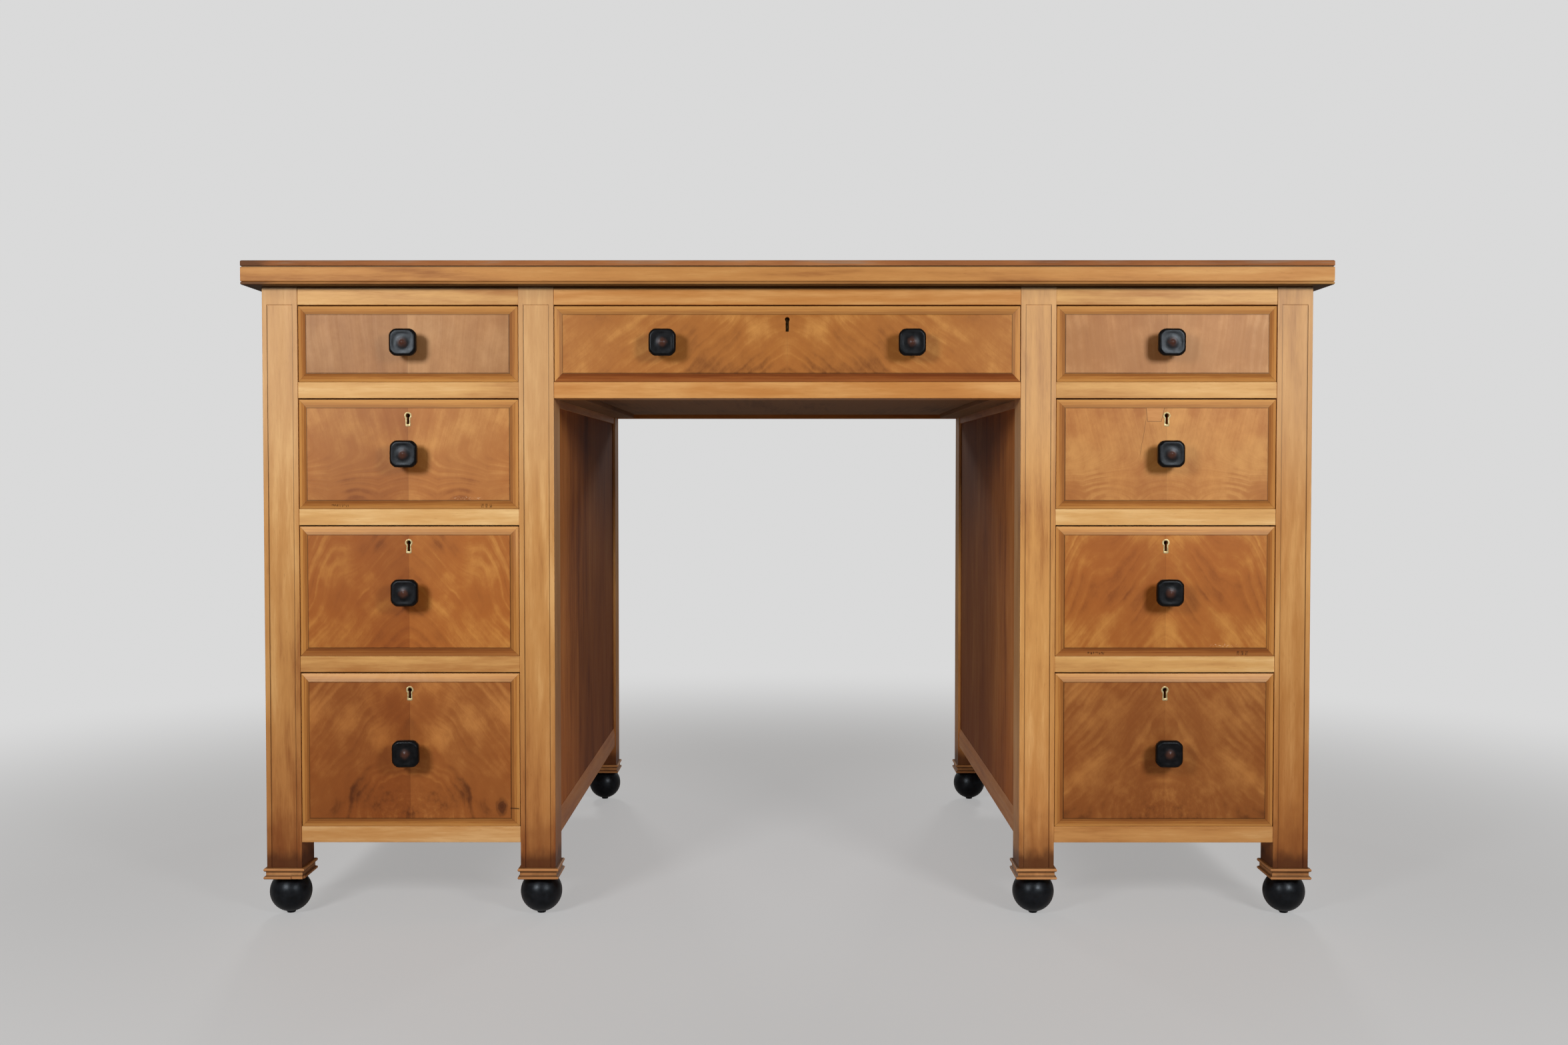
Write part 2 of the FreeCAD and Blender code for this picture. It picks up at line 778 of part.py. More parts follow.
add("writing_top", writing_top())
add("top_edge_moulding", *top_edge_moulding())
for side_x in (-pedestal_centre, pedestal_centre):
    for side in (-1, 1):
        leg_x = side_x + side * (pedestal_width - leg_width) / 2
        facing_knees = side * side_x < 0
        add("front_legs", front_leg(side_x, side))
        add("rear_legs", rear_leg(side_x, side))
        for leg_y in (front_face + leg_depth / 2, back_face - leg_depth / 2):
            add("leg_collars", moved(leg_collar(), leg_x, leg_y, 0))
            add("ball_feet", moved(ball_foot(), leg_x, leg_y, 0))
        bottom_rail, top_rail, panel = pedestal_side(side_x, side)
        add("side_rails", bottom_rail, top_rail)
        add("inner_side_panels" if facing_knees else "outer_side_panels", panel)
        near = opening_width / 2 - runner_bearing
        for row in range(tray_rows):
            floor = opening_floor(row)
            add("drawer_runners", pedestal_strip(side_x, side, near, floor - rail_thickness, floor))
            add("drawer_guides", pedestal_strip(side_x, side, opening_width / 2, floor, floor + guide_height))
            add("drawer_stops", drawer_stop(side_x + side * opening_width * stop_place_share, floor))
        add("drawer_kickers", pedestal_strip(side_x, side, near, frieze_bottom, top_underside))
        for place in (-block_place_share, block_place_share):
            add("top_blocks", top_block(side_x, side, place * frame_depth))
    add("frieze_rails", front_rail(side_x, opening_width, frieze_bottom, frieze_rail_height))
    for row in range(tray_rows):
        bolt_x = side_x if row + 1 < tray_rows else None
        add("drawer_rails", front_rail(side_x, opening_width, opening_floor(row) - rail_thickness,
                                       rail_thickness, bolt_x))
    bottom_rail, top_rail, panel = back_frame(side_x, opening_width, pedestal_bottom, back_rail_height)
    add("back_rails", bottom_rail, top_rail)
    add("back_panels", panel)
add("frieze_rails", front_rail(0, kneehole_width, frieze_bottom, frieze_rail_height, 0))
add("drawer_rails", front_rail(0, kneehole_width, centre_bottom, rail_thickness))
bottom_rail, top_rail, panel = back_frame(0, kneehole_width, centre_bottom, centre_back_rail_height)
add("back_rails", bottom_rail, top_rail)
add("back_panels", panel)
for side in (-1, 1):
    add("drawer_runners", centre_runner(side))
    add("drawer_kickers", centre_strip(side, runner_bearing, frieze_bottom, top_underside))
    add("drawer_stops", drawer_stop(side * kneehole_width * stop_place_share, opening_floor(0)))
add("kneehole_dust_board", dust_board())

# Drawers, with locks on all but the top one of each pedestal

centre_knobs = [-centre_knob_spacing / 2, centre_knob_spacing / 2]
drawers = [Drawer("centre", 0, kneehole_width, 0, "bare", centre_knobs)]
for hand, side_x in (("left", -pedestal_centre), ("right", pedestal_centre)):
    for row in range(tray_rows):
        lock = "thread" if row else None
        drawers.append(Drawer(f"{hand}_{row + 1}", side_x, opening_width, row, lock, [0]))

for drawer in drawers:
    add(f"drawer_front_{drawer.name}", drawer.front())
    add(f"drawer_box_{drawer.name}", drawer.side_board(-1), drawer.side_board(1), drawer.back_board(),
        drawer.bottom_board())
    add(f"knob_{drawer.name}", *drawer.knobs())
    if drawer.lock:
        add(f"lock_{drawer.name}", drawer.lock_case())
        add(f"bolt_{drawer.name}", drawer.bolt())

os.makedirs("parts", exist_ok=True)
for name, solids in nodes.items():
    shape = solids[0] if len(solids) == 1 else Part.makeCompound(solids)
    shape.exportStep(f"parts/{name}.step")
print(len(nodes), "nodes")
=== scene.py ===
# %% [markdown]
# # A walnut kneehole desk
# The desk was measured and built elsewhere as plain solids: boards, rails, legs, drawers, locks and feet.
# This lesson opens that frame and dresses it. Every length is in metres, and every part is already where
# it belongs, so a new piece is worked out from the box of the part that it stands for.

# %% Open the frame
import json
import math

import bmesh
import bpy
import numpy as np
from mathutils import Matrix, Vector


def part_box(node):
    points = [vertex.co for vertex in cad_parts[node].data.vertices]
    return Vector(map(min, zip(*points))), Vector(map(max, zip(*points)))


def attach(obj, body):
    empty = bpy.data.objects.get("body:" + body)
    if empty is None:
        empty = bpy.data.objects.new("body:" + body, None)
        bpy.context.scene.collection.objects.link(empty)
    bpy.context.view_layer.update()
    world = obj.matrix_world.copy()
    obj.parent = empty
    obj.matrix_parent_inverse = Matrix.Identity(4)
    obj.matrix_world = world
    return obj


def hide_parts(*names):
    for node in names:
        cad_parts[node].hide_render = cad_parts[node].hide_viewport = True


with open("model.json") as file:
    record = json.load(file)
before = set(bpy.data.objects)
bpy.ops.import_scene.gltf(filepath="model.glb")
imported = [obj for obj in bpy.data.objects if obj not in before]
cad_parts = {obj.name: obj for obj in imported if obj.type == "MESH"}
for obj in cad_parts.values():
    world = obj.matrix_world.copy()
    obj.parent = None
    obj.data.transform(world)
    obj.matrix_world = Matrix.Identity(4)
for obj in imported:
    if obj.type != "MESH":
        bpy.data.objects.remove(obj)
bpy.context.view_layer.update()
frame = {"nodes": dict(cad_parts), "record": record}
nodes = frame["nodes"]
MM = 0.001

# %% [markdown]
# The camera stands where the photographer stood: two metres in front of the drawers, a little above the
# middle of the desk, tipped down by less than two degrees, which keeps the pedestals from leaning in the
# picture. The lens, of some 38 mm, is a little wider than normal, as a desk so near to it needs.

# %% Set up the camera
camera_data = bpy.data.cameras.new("camera")
camera_data.lens = 37.71
camera_data.sensor_width = 36.0
camera = bpy.data.objects.new("camera", camera_data)
camera.location = (-1.1 * MM, -2305.5 * MM, 527.5 * MM)
camera.rotation_euler = (math.radians(90 - 1.72), 0, math.radians(0.08))
bpy.context.scene.collection.objects.link(camera)
bpy.context.scene.camera = camera
print("camera", tuple(round(v, 3) for v in camera.location))

# %% [markdown]
# Two soft lamps stand left and right of the camera. The knobs tell where: each throws a deep shadow away
# from the nearer lamp, twenty degrees off straight, and a faint one away from the farther lamp, at forty
# degrees, and two such angles fix a lamp's place. Both lamps hang about a metre up and are turned to
# their own pedestal, so their spread is narrowed. The power is worked out from the distance, so that a
# colour on the drawer fronts comes out about as it is written. Two much weaker lamps stand behind the
# desk, so that its back isn't black when somebody walks round it.

# %% Set up the lamps
bpy.context.scene.view_settings.view_transform = "Standard"
left_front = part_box("drawer_front_left_2")
right_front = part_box("drawer_front_right_2")
PEDESTAL_X = (right_front[0].x + right_front[1].x) / 2
FACE_Y = left_front[0].y
LAMP_X = 1.04
LAMP_AHEAD = 1.65
LAMP_HEIGHT = 1.05
LAMP_AIM_HEIGHT = 0.5
LAMP_SIZE = 0.42
LAMP_SPREAD = math.radians(84)
LAMP_LEVEL = 0.72
BACK_FACE_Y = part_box("back_panels")[1].y
BACK_LAMP_BEHIND = 2.6
BACK_LAMP_HEIGHT = 1.5
BACK_LAMP_LEVEL = 0.14


def add_lamp(place, target, level):
    """A square lamp turned to a target, which lights it at a share of the plain level.

    Watts are the level times pi squared times the distance squared, over the cosine at which the light
    falls, and less where the spread is narrow.
    """
    reach = (place - target).length
    facing = abs(place.y - target.y) / reach
    lamp = bpy.data.lights.new("lamp", "AREA")
    lamp.size = LAMP_SIZE
    lamp.spread = LAMP_SPREAD
    narrowing = 1 - LAMP_SPREAD / 2 / math.tan(LAMP_SPREAD / 2)
    lamp.energy = level * math.pi ** 2 * reach ** 2 / facing * narrowing
    holder = bpy.data.objects.new("lamp", lamp)
    holder.location = place
    holder.rotation_euler = (place - target).to_track_quat("Z", "Y").to_euler()
    bpy.context.scene.collection.objects.link(holder)
    print("lamp at", tuple(round(v, 2) for v in place), "watts", round(lamp.energy))


for side in (-1, 1):
    add_lamp(Vector((side * LAMP_X, FACE_Y - LAMP_AHEAD, LAMP_HEIGHT)),
             Vector((side * PEDESTAL_X, FACE_Y, LAMP_AIM_HEIGHT)), LAMP_LEVEL)
    add_lamp(Vector((side * LAMP_X, BACK_FACE_Y + BACK_LAMP_BEHIND, BACK_LAMP_HEIGHT)),
             Vector((side * PEDESTAL_X, BACK_FACE_Y, LAMP_AIM_HEIGHT)), BACK_LAMP_LEVEL)

# %% [markdown]
# Colours are written here as a screen shows them, with red, green and blue from 0 to 255, because those
# are the numbers that a colour picker gives. A material wants the amount of light instead, which doesn't
# rise in step with them, so a helper turns the one into the other.

# %% Colours as light


def linear(red, green, blue):
    """A colour from screen values of 0 to 255, as the light that it stands for.

    A dark value is divided by 12.92. Any other is moved up a little and raised to the power 2.4.
    """
    screen = np.array([red, green, blue]) / 255
    light = np.where(screen <= 0.04045, screen / 12.92, ((screen + 0.055) / 1.055) ** 2.4)
    return (*light.tolist(), 1.0)


print("honey on the screen is the light", [round(value, 3) for value in linear(214, 163, 98)[:3]])

# %% [markdown]
# A material in Blender is a small graph of nodes. Written out one node at a time it is long and hard to
# read, so two helpers make it short. The first is a Wire, a value on its way through the graph: ordinary
# arithmetic with it adds the nodes that do the sum.

# %% A value on its way through a material


class Wire:
    """A value in a material. Arithmetic with it adds Math nodes."""

    def __init__(self, tree, socket):
        self.tree = tree
        self.socket = socket

    def math(self, operation, *others):
        """The result of one Math node, with this value as its first number."""
        node = self.tree.nodes.new("ShaderNodeMath")
        node.operation = operation
        for socket, value in zip(node.inputs, (self,) + others):
            plug(self.tree, value, socket)
        return Wire(self.tree, node.outputs[0])

    def __add__(self, other):
        return self.math("ADD", other)

    def __sub__(self, other):
        return self.math("SUBTRACT", other)

    def __mul__(self, other):
        return self.math("MULTIPLY", other)

    def __truediv__(self, other):
        return self.math("DIVIDE", other)

    def __abs__(self):
        return self.math("ABSOLUTE")

    def flipped(self):
        """One minus the value."""
        return self.math("MULTIPLY_ADD", -1.0, 1.0)

    def least(self, other):
        """The smaller of two values."""
        return self.math("MINIMUM", other)

    def most(self, other):
        """The larger of two values."""
        return self.math("MAXIMUM", other)

    def root(self):
        """The square root."""
        return self.math("SQRT")

    def wave(self):
        """The sine."""
        return self.math("SINE")

    def ramp(self, low, high):
        """0 below low, 1 above high, and a smooth step between them, falling where low is above high."""
        node = self.tree.nodes.new("ShaderNodeMapRange")
        node.interpolation_type = "SMOOTHSTEP"
        plug(self.tree, self, node.inputs["Value"])
        rising = low < high
        node.inputs["From Min"].default_value = low if rising else high
        node.inputs["From Max"].default_value = high if rising else low
        node.inputs["To Min"].default_value = 0.0 if rising else 1.0
        node.inputs["To Max"].default_value = 1.0 if rising else 0.0
        return Wire(self.tree, node.outputs["Result"])

    def band(self, low, high, edge):
        """1 between low and high, fading over an edge outside each."""
        return self.ramp(low - edge, low) * self.ramp(high + edge, high)


def plug(tree, value, socket):
    """Link a wire into a socket, or set the socket to a plain value."""
    if isinstance(value, Wire):
        tree.links.new(value.socket, socket)
    else:
        socket.default_value = value


print("a wire can", [name for name in vars(Wire) if not name.startswith("__")])

# %% [markdown]
# The second helper is a Finish, one material with short ways to read a coordinate, look up noise, mix two
# colours and raise a bump. With it, a finish reads like the formula that it is. Old polish has gone amber,
# and it tints even what it mirrors, so the mirror tint is amber unless asked otherwise.

# %% A material in the making
AMBER = (1.0, 0.8, 0.58, 1.0)
WHITE = (1.0, 1.0, 1.0, 1.0)


class Finish:
    """A material in the making."""

    def __init__(self, name, roughness, specular, mirror_tint=AMBER):
        self.material = bpy.data.materials.new(name)
        self.material.use_nodes = True
        self.tree = self.material.node_tree
        self.shader = self.tree.nodes["Principled BSDF"]
        self.shader.inputs["Roughness"].default_value = roughness
        self.shader.inputs["Specular IOR Level"].default_value = specular
        self.shader.inputs["Specular Tint"].default_value = mirror_tint

    def split(self, socket):
        """The three values of a vector."""
        node = self.tree.nodes.new("ShaderNodeSeparateXYZ")
        self.tree.links.new(socket, node.inputs[0])
        return [Wire(self.tree, output) for output in node.outputs]

    def read(self, attribute):
        """The three values of a vector that the mesh carries at each point."""
        node = self.tree.nodes.new("ShaderNodeAttribute")
        node.attribute_name = attribute
        return self.split(node.outputs["Vector"])

    def place(self):
        """Where the point is on the desk."""
        node = self.tree.nodes.new("ShaderNodeTexCoord")
        return self.split(node.outputs["Object"])

    def vector(self, x, y, z):
        """Three values as one vector, or as one colour."""
        node = self.tree.nodes.new("ShaderNodeCombineXYZ")
        for socket, value in zip(node.inputs, (x, y, z)):
            plug(self.tree, value, socket)
        return Wire(self.tree, node.outputs[0])

    def noise(self, x, y, z, detail=2.0, rough=0.5):
        """Smooth noise about 0.5, one blob for each unit of x, y and z."""
        node = self.tree.nodes.new("ShaderNodeTexNoise")
        plug(self.tree, self.vector(x, y, z), node.inputs["Vector"])
        node.inputs["Scale"].default_value = 1.0
        node.inputs["Detail"].default_value = detail
        node.inputs["Roughness"].default_value = rough
        return Wire(self.tree, node.outputs["Fac"])

    def mix(self, share, first, second, blend="MIX"):
        """The first colour where share is 0 and the second where it is 1."""
        node = self.tree.nodes.new("ShaderNodeMix")
        node.data_type = "RGBA"
        node.blend_type = blend
        share_socket, first_socket, second_socket = node.inputs[0], node.inputs[6], node.inputs[7]
        plug(self.tree, share, share_socket)
        plug(self.tree, first, first_socket)
        plug(self.tree, second, second_socket)
        return Wire(self.tree, node.outputs[2])

    def shade(self, share, colour, depth):
        """A colour darkened by up to depth where share is 1."""
        grey = 1.0 - depth
        return self.mix(share, colour, (grey, grey, grey, 1.0), "MULTIPLY")

    def coat(self, colour, height, bump, roughness=None):
        """Send the colour, the relief and, if it varies, the roughness to the shader."""
        plug(self.tree, colour, self.shader.inputs["Base Color"])
        if roughness is not None:
            plug(self.tree, roughness, self.shader.inputs["Roughness"])
        node = self.tree.nodes.new("ShaderNodeBump")
        node.inputs["Distance"].default_value = bump
        plug(self.tree, height, node.inputs["Height"])
        self.tree.links.new(node.outputs["Normal"], self.shader.inputs["Normal"])
        return self.material


print("mirror tints: polish", AMBER[:3], "bare wood and metal", WHITE[:3])

# %% [markdown]
# The plain solids come as loose triangles, and the boards of one part are separate shells in one mesh. The
# next cell makes a copy whose triangles are joined, and numbers the boards: points that edges lead between
# belong to the same board.

# %% The boards of a part


def points_of(mesh):
    """The mesh's points, one row each."""
    flat = np.empty(len(mesh.vertices) * 3, dtype=np.float32)
    mesh.vertices.foreach_get("co", flat)
    return flat.reshape(-1, 3).astype(float)


def board_numbers(mesh):
    """The number of the board that each point belongs to: the least point number that edges lead to."""
    ends = np.empty(len(mesh.edges) * 2, dtype=np.int32)
    mesh.edges.foreach_get("vertices", ends)
    first, second = ends.reshape(-1, 2).T
    label = np.arange(len(mesh.vertices))
    while True:
        least = np.minimum(label[first], label[second])
        lower = label.copy()
        np.minimum.at(lower, first, least)
        np.minimum.at(lower, second, least)
        lower = lower[lower]
        if np.array_equal(lower, label):
            return np.unique(label, return_inverse=True)[1]
        label = lower


def clean_copy(name):
    """A copy of a part with its loose triangles joined and flat faces made whole."""
    mesh = nodes[name].data.copy()
    mesh.name = name + "_finished"
    mesh.materials.clear()
    work = bmesh.new()
    work.from_mesh(mesh)
    bmesh.ops.remove_doubles(work, verts=work.verts, dist=0.001 * MM)
    bmesh.ops.dissolve_limit(work, angle_limit=math.radians(0.4), verts=work.verts, edges=work.edges)
    work.to_mesh(mesh)
    work.free()
    return mesh


print("points of the drawer rails:", len(points_of(nodes["drawer_rails"].data)))

# %% [markdown]
# Wood needs to know which way it grows. Each board's coordinates are turned so that the first runs along
# its grain, and shifted by a random step, so that no two boards share a pattern. The result is stored on
# the points as a vector called grain. The random numbers start from a fixed seed and are drawn in a fixed
# order, so the desk comes out the same every time.

# %% The grain of each board
rng = np.random.default_rng(1930)
PATTERN_SHIFT = 9


def write_vector(mesh, name, values, domain="POINT"):
    """Store one vector for each point, or for each corner of each face."""
    attribute = mesh.attributes.new(name, "FLOAT_VECTOR", domain)
    attribute.data.foreach_set("vector", np.asarray(values, dtype=np.float32).ravel())


def grain_vectors(points, numbers, along):
    """Each board's own coordinates, the first along its grain, shifted by a random step of up to 9 m."""
    result = np.empty_like(points)
    for number in range(numbers.max() + 1):
        rows = numbers == number
        board = points[rows]
        middle = (board.min(axis=0) + board.max(axis=0)) / 2
        spans = np.ptp(board, axis=0)
        axis = int(np.argmax(spans)) if along is None else "xyz".index(along)
        others = sorted((a for a in range(3) if a != axis), key=lambda a: -spans[a])
        result[rows] = (board - middle)[:, [axis] + others] + rng.uniform(0, PATTERN_SHIFT, 3)
    return result


print("patterns are shifted by up to", PATTERN_SHIFT, "m")

# %% [markdown]
# A finished piece takes the place of the plain solid that it is made from: it rides on the same body. The
# boards also lose their razor edges, because a bevel of a few tenths of a millimetre catches the light as a
# hand-sanded arris does.

# %% Show a finished piece
record = frame["record"]
body_of = {name: body for body, names in record["behaviour"]["bodies"].items() for name in names}
ARRIS = 0.45 * MM


def show(mesh, name, finish):
    """Make an object of a mesh at the origin and give it its finish."""
    piece = bpy.data.objects.new(name, mesh)
    bpy.context.scene.collection.objects.link(piece)
    mesh.materials.append(finish)
    return piece


def stand_in(piece, *names):
    """Let a finished piece take the place of the parts that it shows, and move as they do."""
    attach(piece, body_of[names[0]])
    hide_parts(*names)


def ease_edges(piece, width):
    """Round the piece's sharp edges by a width."""
    bevel = piece.modifiers.new("arris", "BEVEL")
    bevel.width = width
    bevel.segments = 2
    bevel.limit_method = "ANGLE"
    bevel.angle_limit = math.radians(35)
    bevel.use_clamp_overlap = True


def finish_boards(name, finish, along=None):
    """Show a part's boards with grain, eased edges and a finish."""
    mesh = clean_copy(name)
    write_vector(mesh, "grain", grain_vectors(points_of(mesh), board_numbers(mesh), along))
    piece = show(mesh, name + "_finished", finish)
    ease_edges(piece, ARRIS)
    stand_in(piece, name)


# %% [markdown]
# Solid walnut, bleached by light to honey, is the finish of the legs and rails. It is made of noises of
# several sizes, all stretched along the grain: a slow drift of tone over the board, patches, streaks a few
# millimetres wide, flecks, fibres, and pores, which are short dark dashes. Growth rings are added as a
# sine of the distance across the board, which slow noise pushes about. Their share is small, because bold
# rings look ruled on a wide panel.

# %% Walnut boards
RING_PITCH = 11 * MM
RING_SHARE = 0.14


def walnut(finish, dark, middle, light, ring_share=RING_SHARE):
    """The colour, the pores and the streaks of a walnut board, from its grain vector.

    The depth of tone is a weighted sum of the noises and the rings, less about their mean, and the
    colour goes with it from light over middle to dark.
    """
    along, across, deep = finish.read("grain")
    drift = finish.noise(along * 1.7, across * 8, deep * 8)
    patches = finish.noise(along * 9, across * 34, deep * 34)
    push = finish.noise(along * 2.6, across * 12, deep * 12, detail=3.0)
    rings = ((across + deep * 0.6 + push * (40 * MM)) * (2 * math.pi / RING_PITCH)).wave() * 0.5 + 0.5
    streaks = finish.noise(along * 7, across * 170, deep * 170, detail=4.0, rough=0.65)
    flecks = finish.noise(along * 48, across * 330, deep * 330, detail=3.0)
    fibres = finish.noise(along * 55, across * 1500, deep * 1500)
    depth = (drift * 1.3 + patches * 0.75 + streaks * 0.5 + rings * ring_share + fibres * 0.2
             + flecks * 0.3 - (1.03 + ring_share / 2))
    colour = finish.mix(depth.ramp(0.0, 0.5), light, middle)
    colour = finish.mix(depth.ramp(0.42, 1.0), colour, dark)
    dark_flecks = finish.noise(along * 90, across * 520, deep * 520).ramp(0.68, 0.78)
    colour = finish.mix(dark_flecks * 0.25, colour, dark)
    pores = finish.noise(along * 110, across * 2300, deep * 2300, detail=1.0).ramp(0.62, 0.76)
    colour = finish.shade(pores, colour, 0.09)
    return colour, pores, streaks


print("rings", RING_PITCH, "apart, their share", RING_SHARE)

# %% [markdown]
# Polish lies on top of the colour. The pores are pressed into it as a slight relief, and they dull it. Shade
# is painted in as well: the rails between the pedestals are darker and redder, where less of the lamps'
# sheen falls, and the panels inside the kneehole get darker towards the back. All the wood gets darker and
# redder towards the floor, and a black band under the top is a painted shadow of the top, with dirt in that
# corner.

# %% Polished rails and panels
TOP_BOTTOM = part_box("writing_top")[0].z
NEAR_FLOOR = (0.9, 0.8, 0.77, 1.0)
KNEEHOLE_BACK_SHADE = (0.42, 0.36, 0.33, 1.0)
MIDDLE_SHADE = (0.82, 0.62, 0.45, 1.0)


def tinted(finish, share, colour, tint):
    """A colour multiplied by a tint where share is 1."""
    return finish.mix(share, colour, tint, "MULTIPLY")


def grimed_and_shaded(finish, colour, z):
    """Darker and redder towards the floor, and black under the top: a painted shadow of the top, with dirt in
    that corner.
    """
    colour = tinted(finish, z.ramp(320 * MM, 110 * MM), colour, NEAR_FLOOR)
    # Painted shadow: a black band just under the top, where the top's shadow falls, with dirt in that corner.
    under_top = z.ramp(TOP_BOTTOM - 4.0 * MM, TOP_BOTTOM - 2.2 * MM)
    return finish.shade(under_top, colour, 0.78)


def polish(finish, colour, pores, streaks, roughness):
    """Coat a walnut: pores pressed in and duller, streaks a little raised and duller."""
    return finish.coat(colour, pores.flipped() * 0.3 + streaks * 0.4, bump=0.06 * MM,
                       roughness=pores * 0.1 + streaks * 0.12 + roughness)


def polished(name, dark, middle, light, roughness=0.36, specular=0.35, ring_share=RING_SHARE,
             shaded_middle=False, shaded_behind=False):
    """A polished walnut, if asked with painted shade: darker and redder between the pedestals, or darker
    further back.
    """
    finish = Finish(name, roughness, specular)
    colour, pores, streaks = walnut(finish, dark, middle, light, ring_share)
    x, y, z = finish.place()
    colour = grimed_and_shaded(finish, colour, z)
    # Painted shade: the kneehole panels get darker towards the back, where less light reaches.
    if shaded_behind:
        colour = tinted(finish, y.ramp(-340 * MM, 20 * MM), colour, KNEEHOLE_BACK_SHADE)
    # Painted shade: darker and redder between the pedestals, where less of the lamps' sheen falls.
    if shaded_middle:
        between = abs(x).ramp(PEDESTAL_X - 140 * MM, PEDESTAL_X - 150 * MM)
        colour = tinted(finish, between, colour, MIDDLE_SHADE)
    return polish(finish, colour, pores, streaks, roughness)


honey_rails = polished("honey walnut, rails", linear(174, 114, 58), linear(214, 163, 98),
                       linear(238, 200, 140), shaded_middle=True)
panel_walnut = polished("walnut panels", linear(112, 60, 28), linear(166, 102, 50),
                        linear(194, 132, 72), ring_share=0.04)
kneehole_walnut = polished("walnut panels, kneehole", linear(138, 74, 34), linear(200, 126, 62),
                           linear(226, 158, 88), roughness=0.54, specular=0.12, ring_share=0.04,
                           shaded_behind=True)
print("walnut finishes:", [finish.name for finish in (honey_rails, panel_walnut, kneehole_walnut)])

# %% [markdown]
# The legs have the same walnut, but they also show how the desk was used. A painted shadow darkens the
# corner of the sunk field beside each proud strip, a painted sheen lightens the upper part, and mops have
# left a reddish tide mark and a dark stain just over the collar. The two legs of the right pedestal aren't
# from the same log, and differ in tone. All of this follows from the leg's own measures, read as Object
# coordinates, so it stays in place when the view or the drawers move.

# %% Walnut legs
legs_low, legs_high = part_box("front_legs")
collar_low, collar_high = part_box("leg_collars")
LEG_WIDTH = 41.3 * MM
STRIP_WIDTH = 5.5 * MM
PEDESTAL_WIDTH = (legs_high.x - PEDESTAL_X) * 2
FIELD_HALF = LEG_WIDTH / 2 - STRIP_WIDTH
LEG_FROM_MIDDLE = (PEDESTAL_WIDTH - LEG_WIDTH) / 2
PALE_LEG = (1.16, 1.2, 1.22, 1.0)
DEEP_LEG = (0.9, 0.82, 0.72, 1.0)


def leg_walnut():
    """Walnut with the marks of use on it, by the place on the leg."""
    finish = Finish("honey walnut, legs", 0.4, 0.35)
    colour, pores, streaks = walnut(finish, linear(146, 86, 41), linear(195, 139, 78), linear(222, 173, 111))
    x, y, z = finish.place()
    # Painted shadow: the corner of the sunk field beside each proud strip is darkened on the front, where the
    # strip's shadow falls.
    across_leg = abs(abs(abs(x) - PEDESTAL_X) - LEG_FROM_MIDDLE)
    corner = across_leg.band(FIELD_HALF - 0.9 * MM, FIELD_HALF, 0.3 * MM)
    front = y.ramp(legs_low.y + 2.0 * MM, legs_low.y + 1.0 * MM)
    under_top = z.ramp(legs_high.z - 20 * MM, legs_high.z - 24 * MM)
    colour = finish.shade(corner * front * under_top, colour, 0.45)
    colour = grimed_and_shaded(finish, colour, z)
    # Painted sheen: the upper part of the legs is lightened, where the lamps' sheen falls.
    painted_sheen = z.ramp(legs_high.z - 300 * MM, legs_high.z - 120 * MM)
    colour = finish.mix(painted_sheen * 0.22, colour, linear(228, 194, 152))
    right_inner = x.band(PEDESTAL_X - PEDESTAL_WIDTH / 2 - 5 * MM, PEDESTAL_X, 1 * MM)
    colour = tinted(finish, right_inner, colour, PALE_LEG)
    right_outer = x.ramp(PEDESTAL_X, PEDESTAL_X + 1 * MM) * painted_sheen.flipped()
    colour = tinted(finish, right_outer, colour, DEEP_LEG)
    patchy = finish.noise(x * 70, y * 70, z * 34, detail=4.0) - 0.5
    tide = (z + patchy * (90 * MM)).ramp(legs_low.z + 85 * MM, legs_low.z + 12 * MM)
    colour = finish.mix(tide * 0.55, colour, linear(122, 62, 28))
    stain = (z + patchy * (26 * MM)).ramp(legs_low.z + 26 * MM, legs_low.z + 8 * MM)
    colour = finish.mix(stain * 0.8, colour, linear(74, 34, 16))
    # Darker just under the top: a painted shade of the top, with dust.
    dust_and_shade = (z - patchy * (12 * MM)).ramp(legs_high.z - 18 * MM, legs_high.z - 6 * MM)
    colour = finish.shade(dust_and_shade, colour, 0.12)
    return polish(finish, colour, pores, streaks, 0.36)


leg_finish = leg_walnut()
for part in ("front_legs", "rear_legs"):
    finish_boards(part, leg_finish, along="z")
for part in ("frieze_rails", "drawer_rails", "side_rails", "back_rails"):
    finish_boards(part, honey_rails)
for part in ("outer_side_panels", "back_panels"):
    finish_boards(part, panel_walnut, along="z")
finish_boards("inner_side_panels", kneehole_walnut, along="z")
print("legs", round(LEG_FROM_MIDDLE, 4), "either side of a pedestal's middle")

# %% [markdown]
# The inside of the desk is plainer. The drawer sides, backs and bottoms are a pale lining wood, and the
# runners, guides, kickers and stops are a browner bare wood that nobody polished. The runners show behind
# an open drawer and the dust board is the ceiling of the kneehole, so these get grain of their own. The
# pieces deep inside keep their solid shape and read their grain straight from Object coordinates, because
# all of them but the little stops run from front to back.

# %% Lining and inside woods


def named(start):
    """The parts whose names begin with a word."""
    return [name for name in nodes if name.startswith(start)]


def paint(part, finish):
    """Give a part that keeps its solid a finish."""
    nodes[part].data.materials.clear()
    nodes[part].data.materials.append(finish)


def bare_wood(name, dark, light):
    """Unpolished wood: streaks and a little dirt, on a board with a grain vector."""
    finish = Finish(name, 0.62, 0.3, WHITE)
    colour, _, streaks = walnut(finish, dark, light, light, ring_share=0.1)
    return finish.coat(colour, streaks, bump=0.12 * MM)


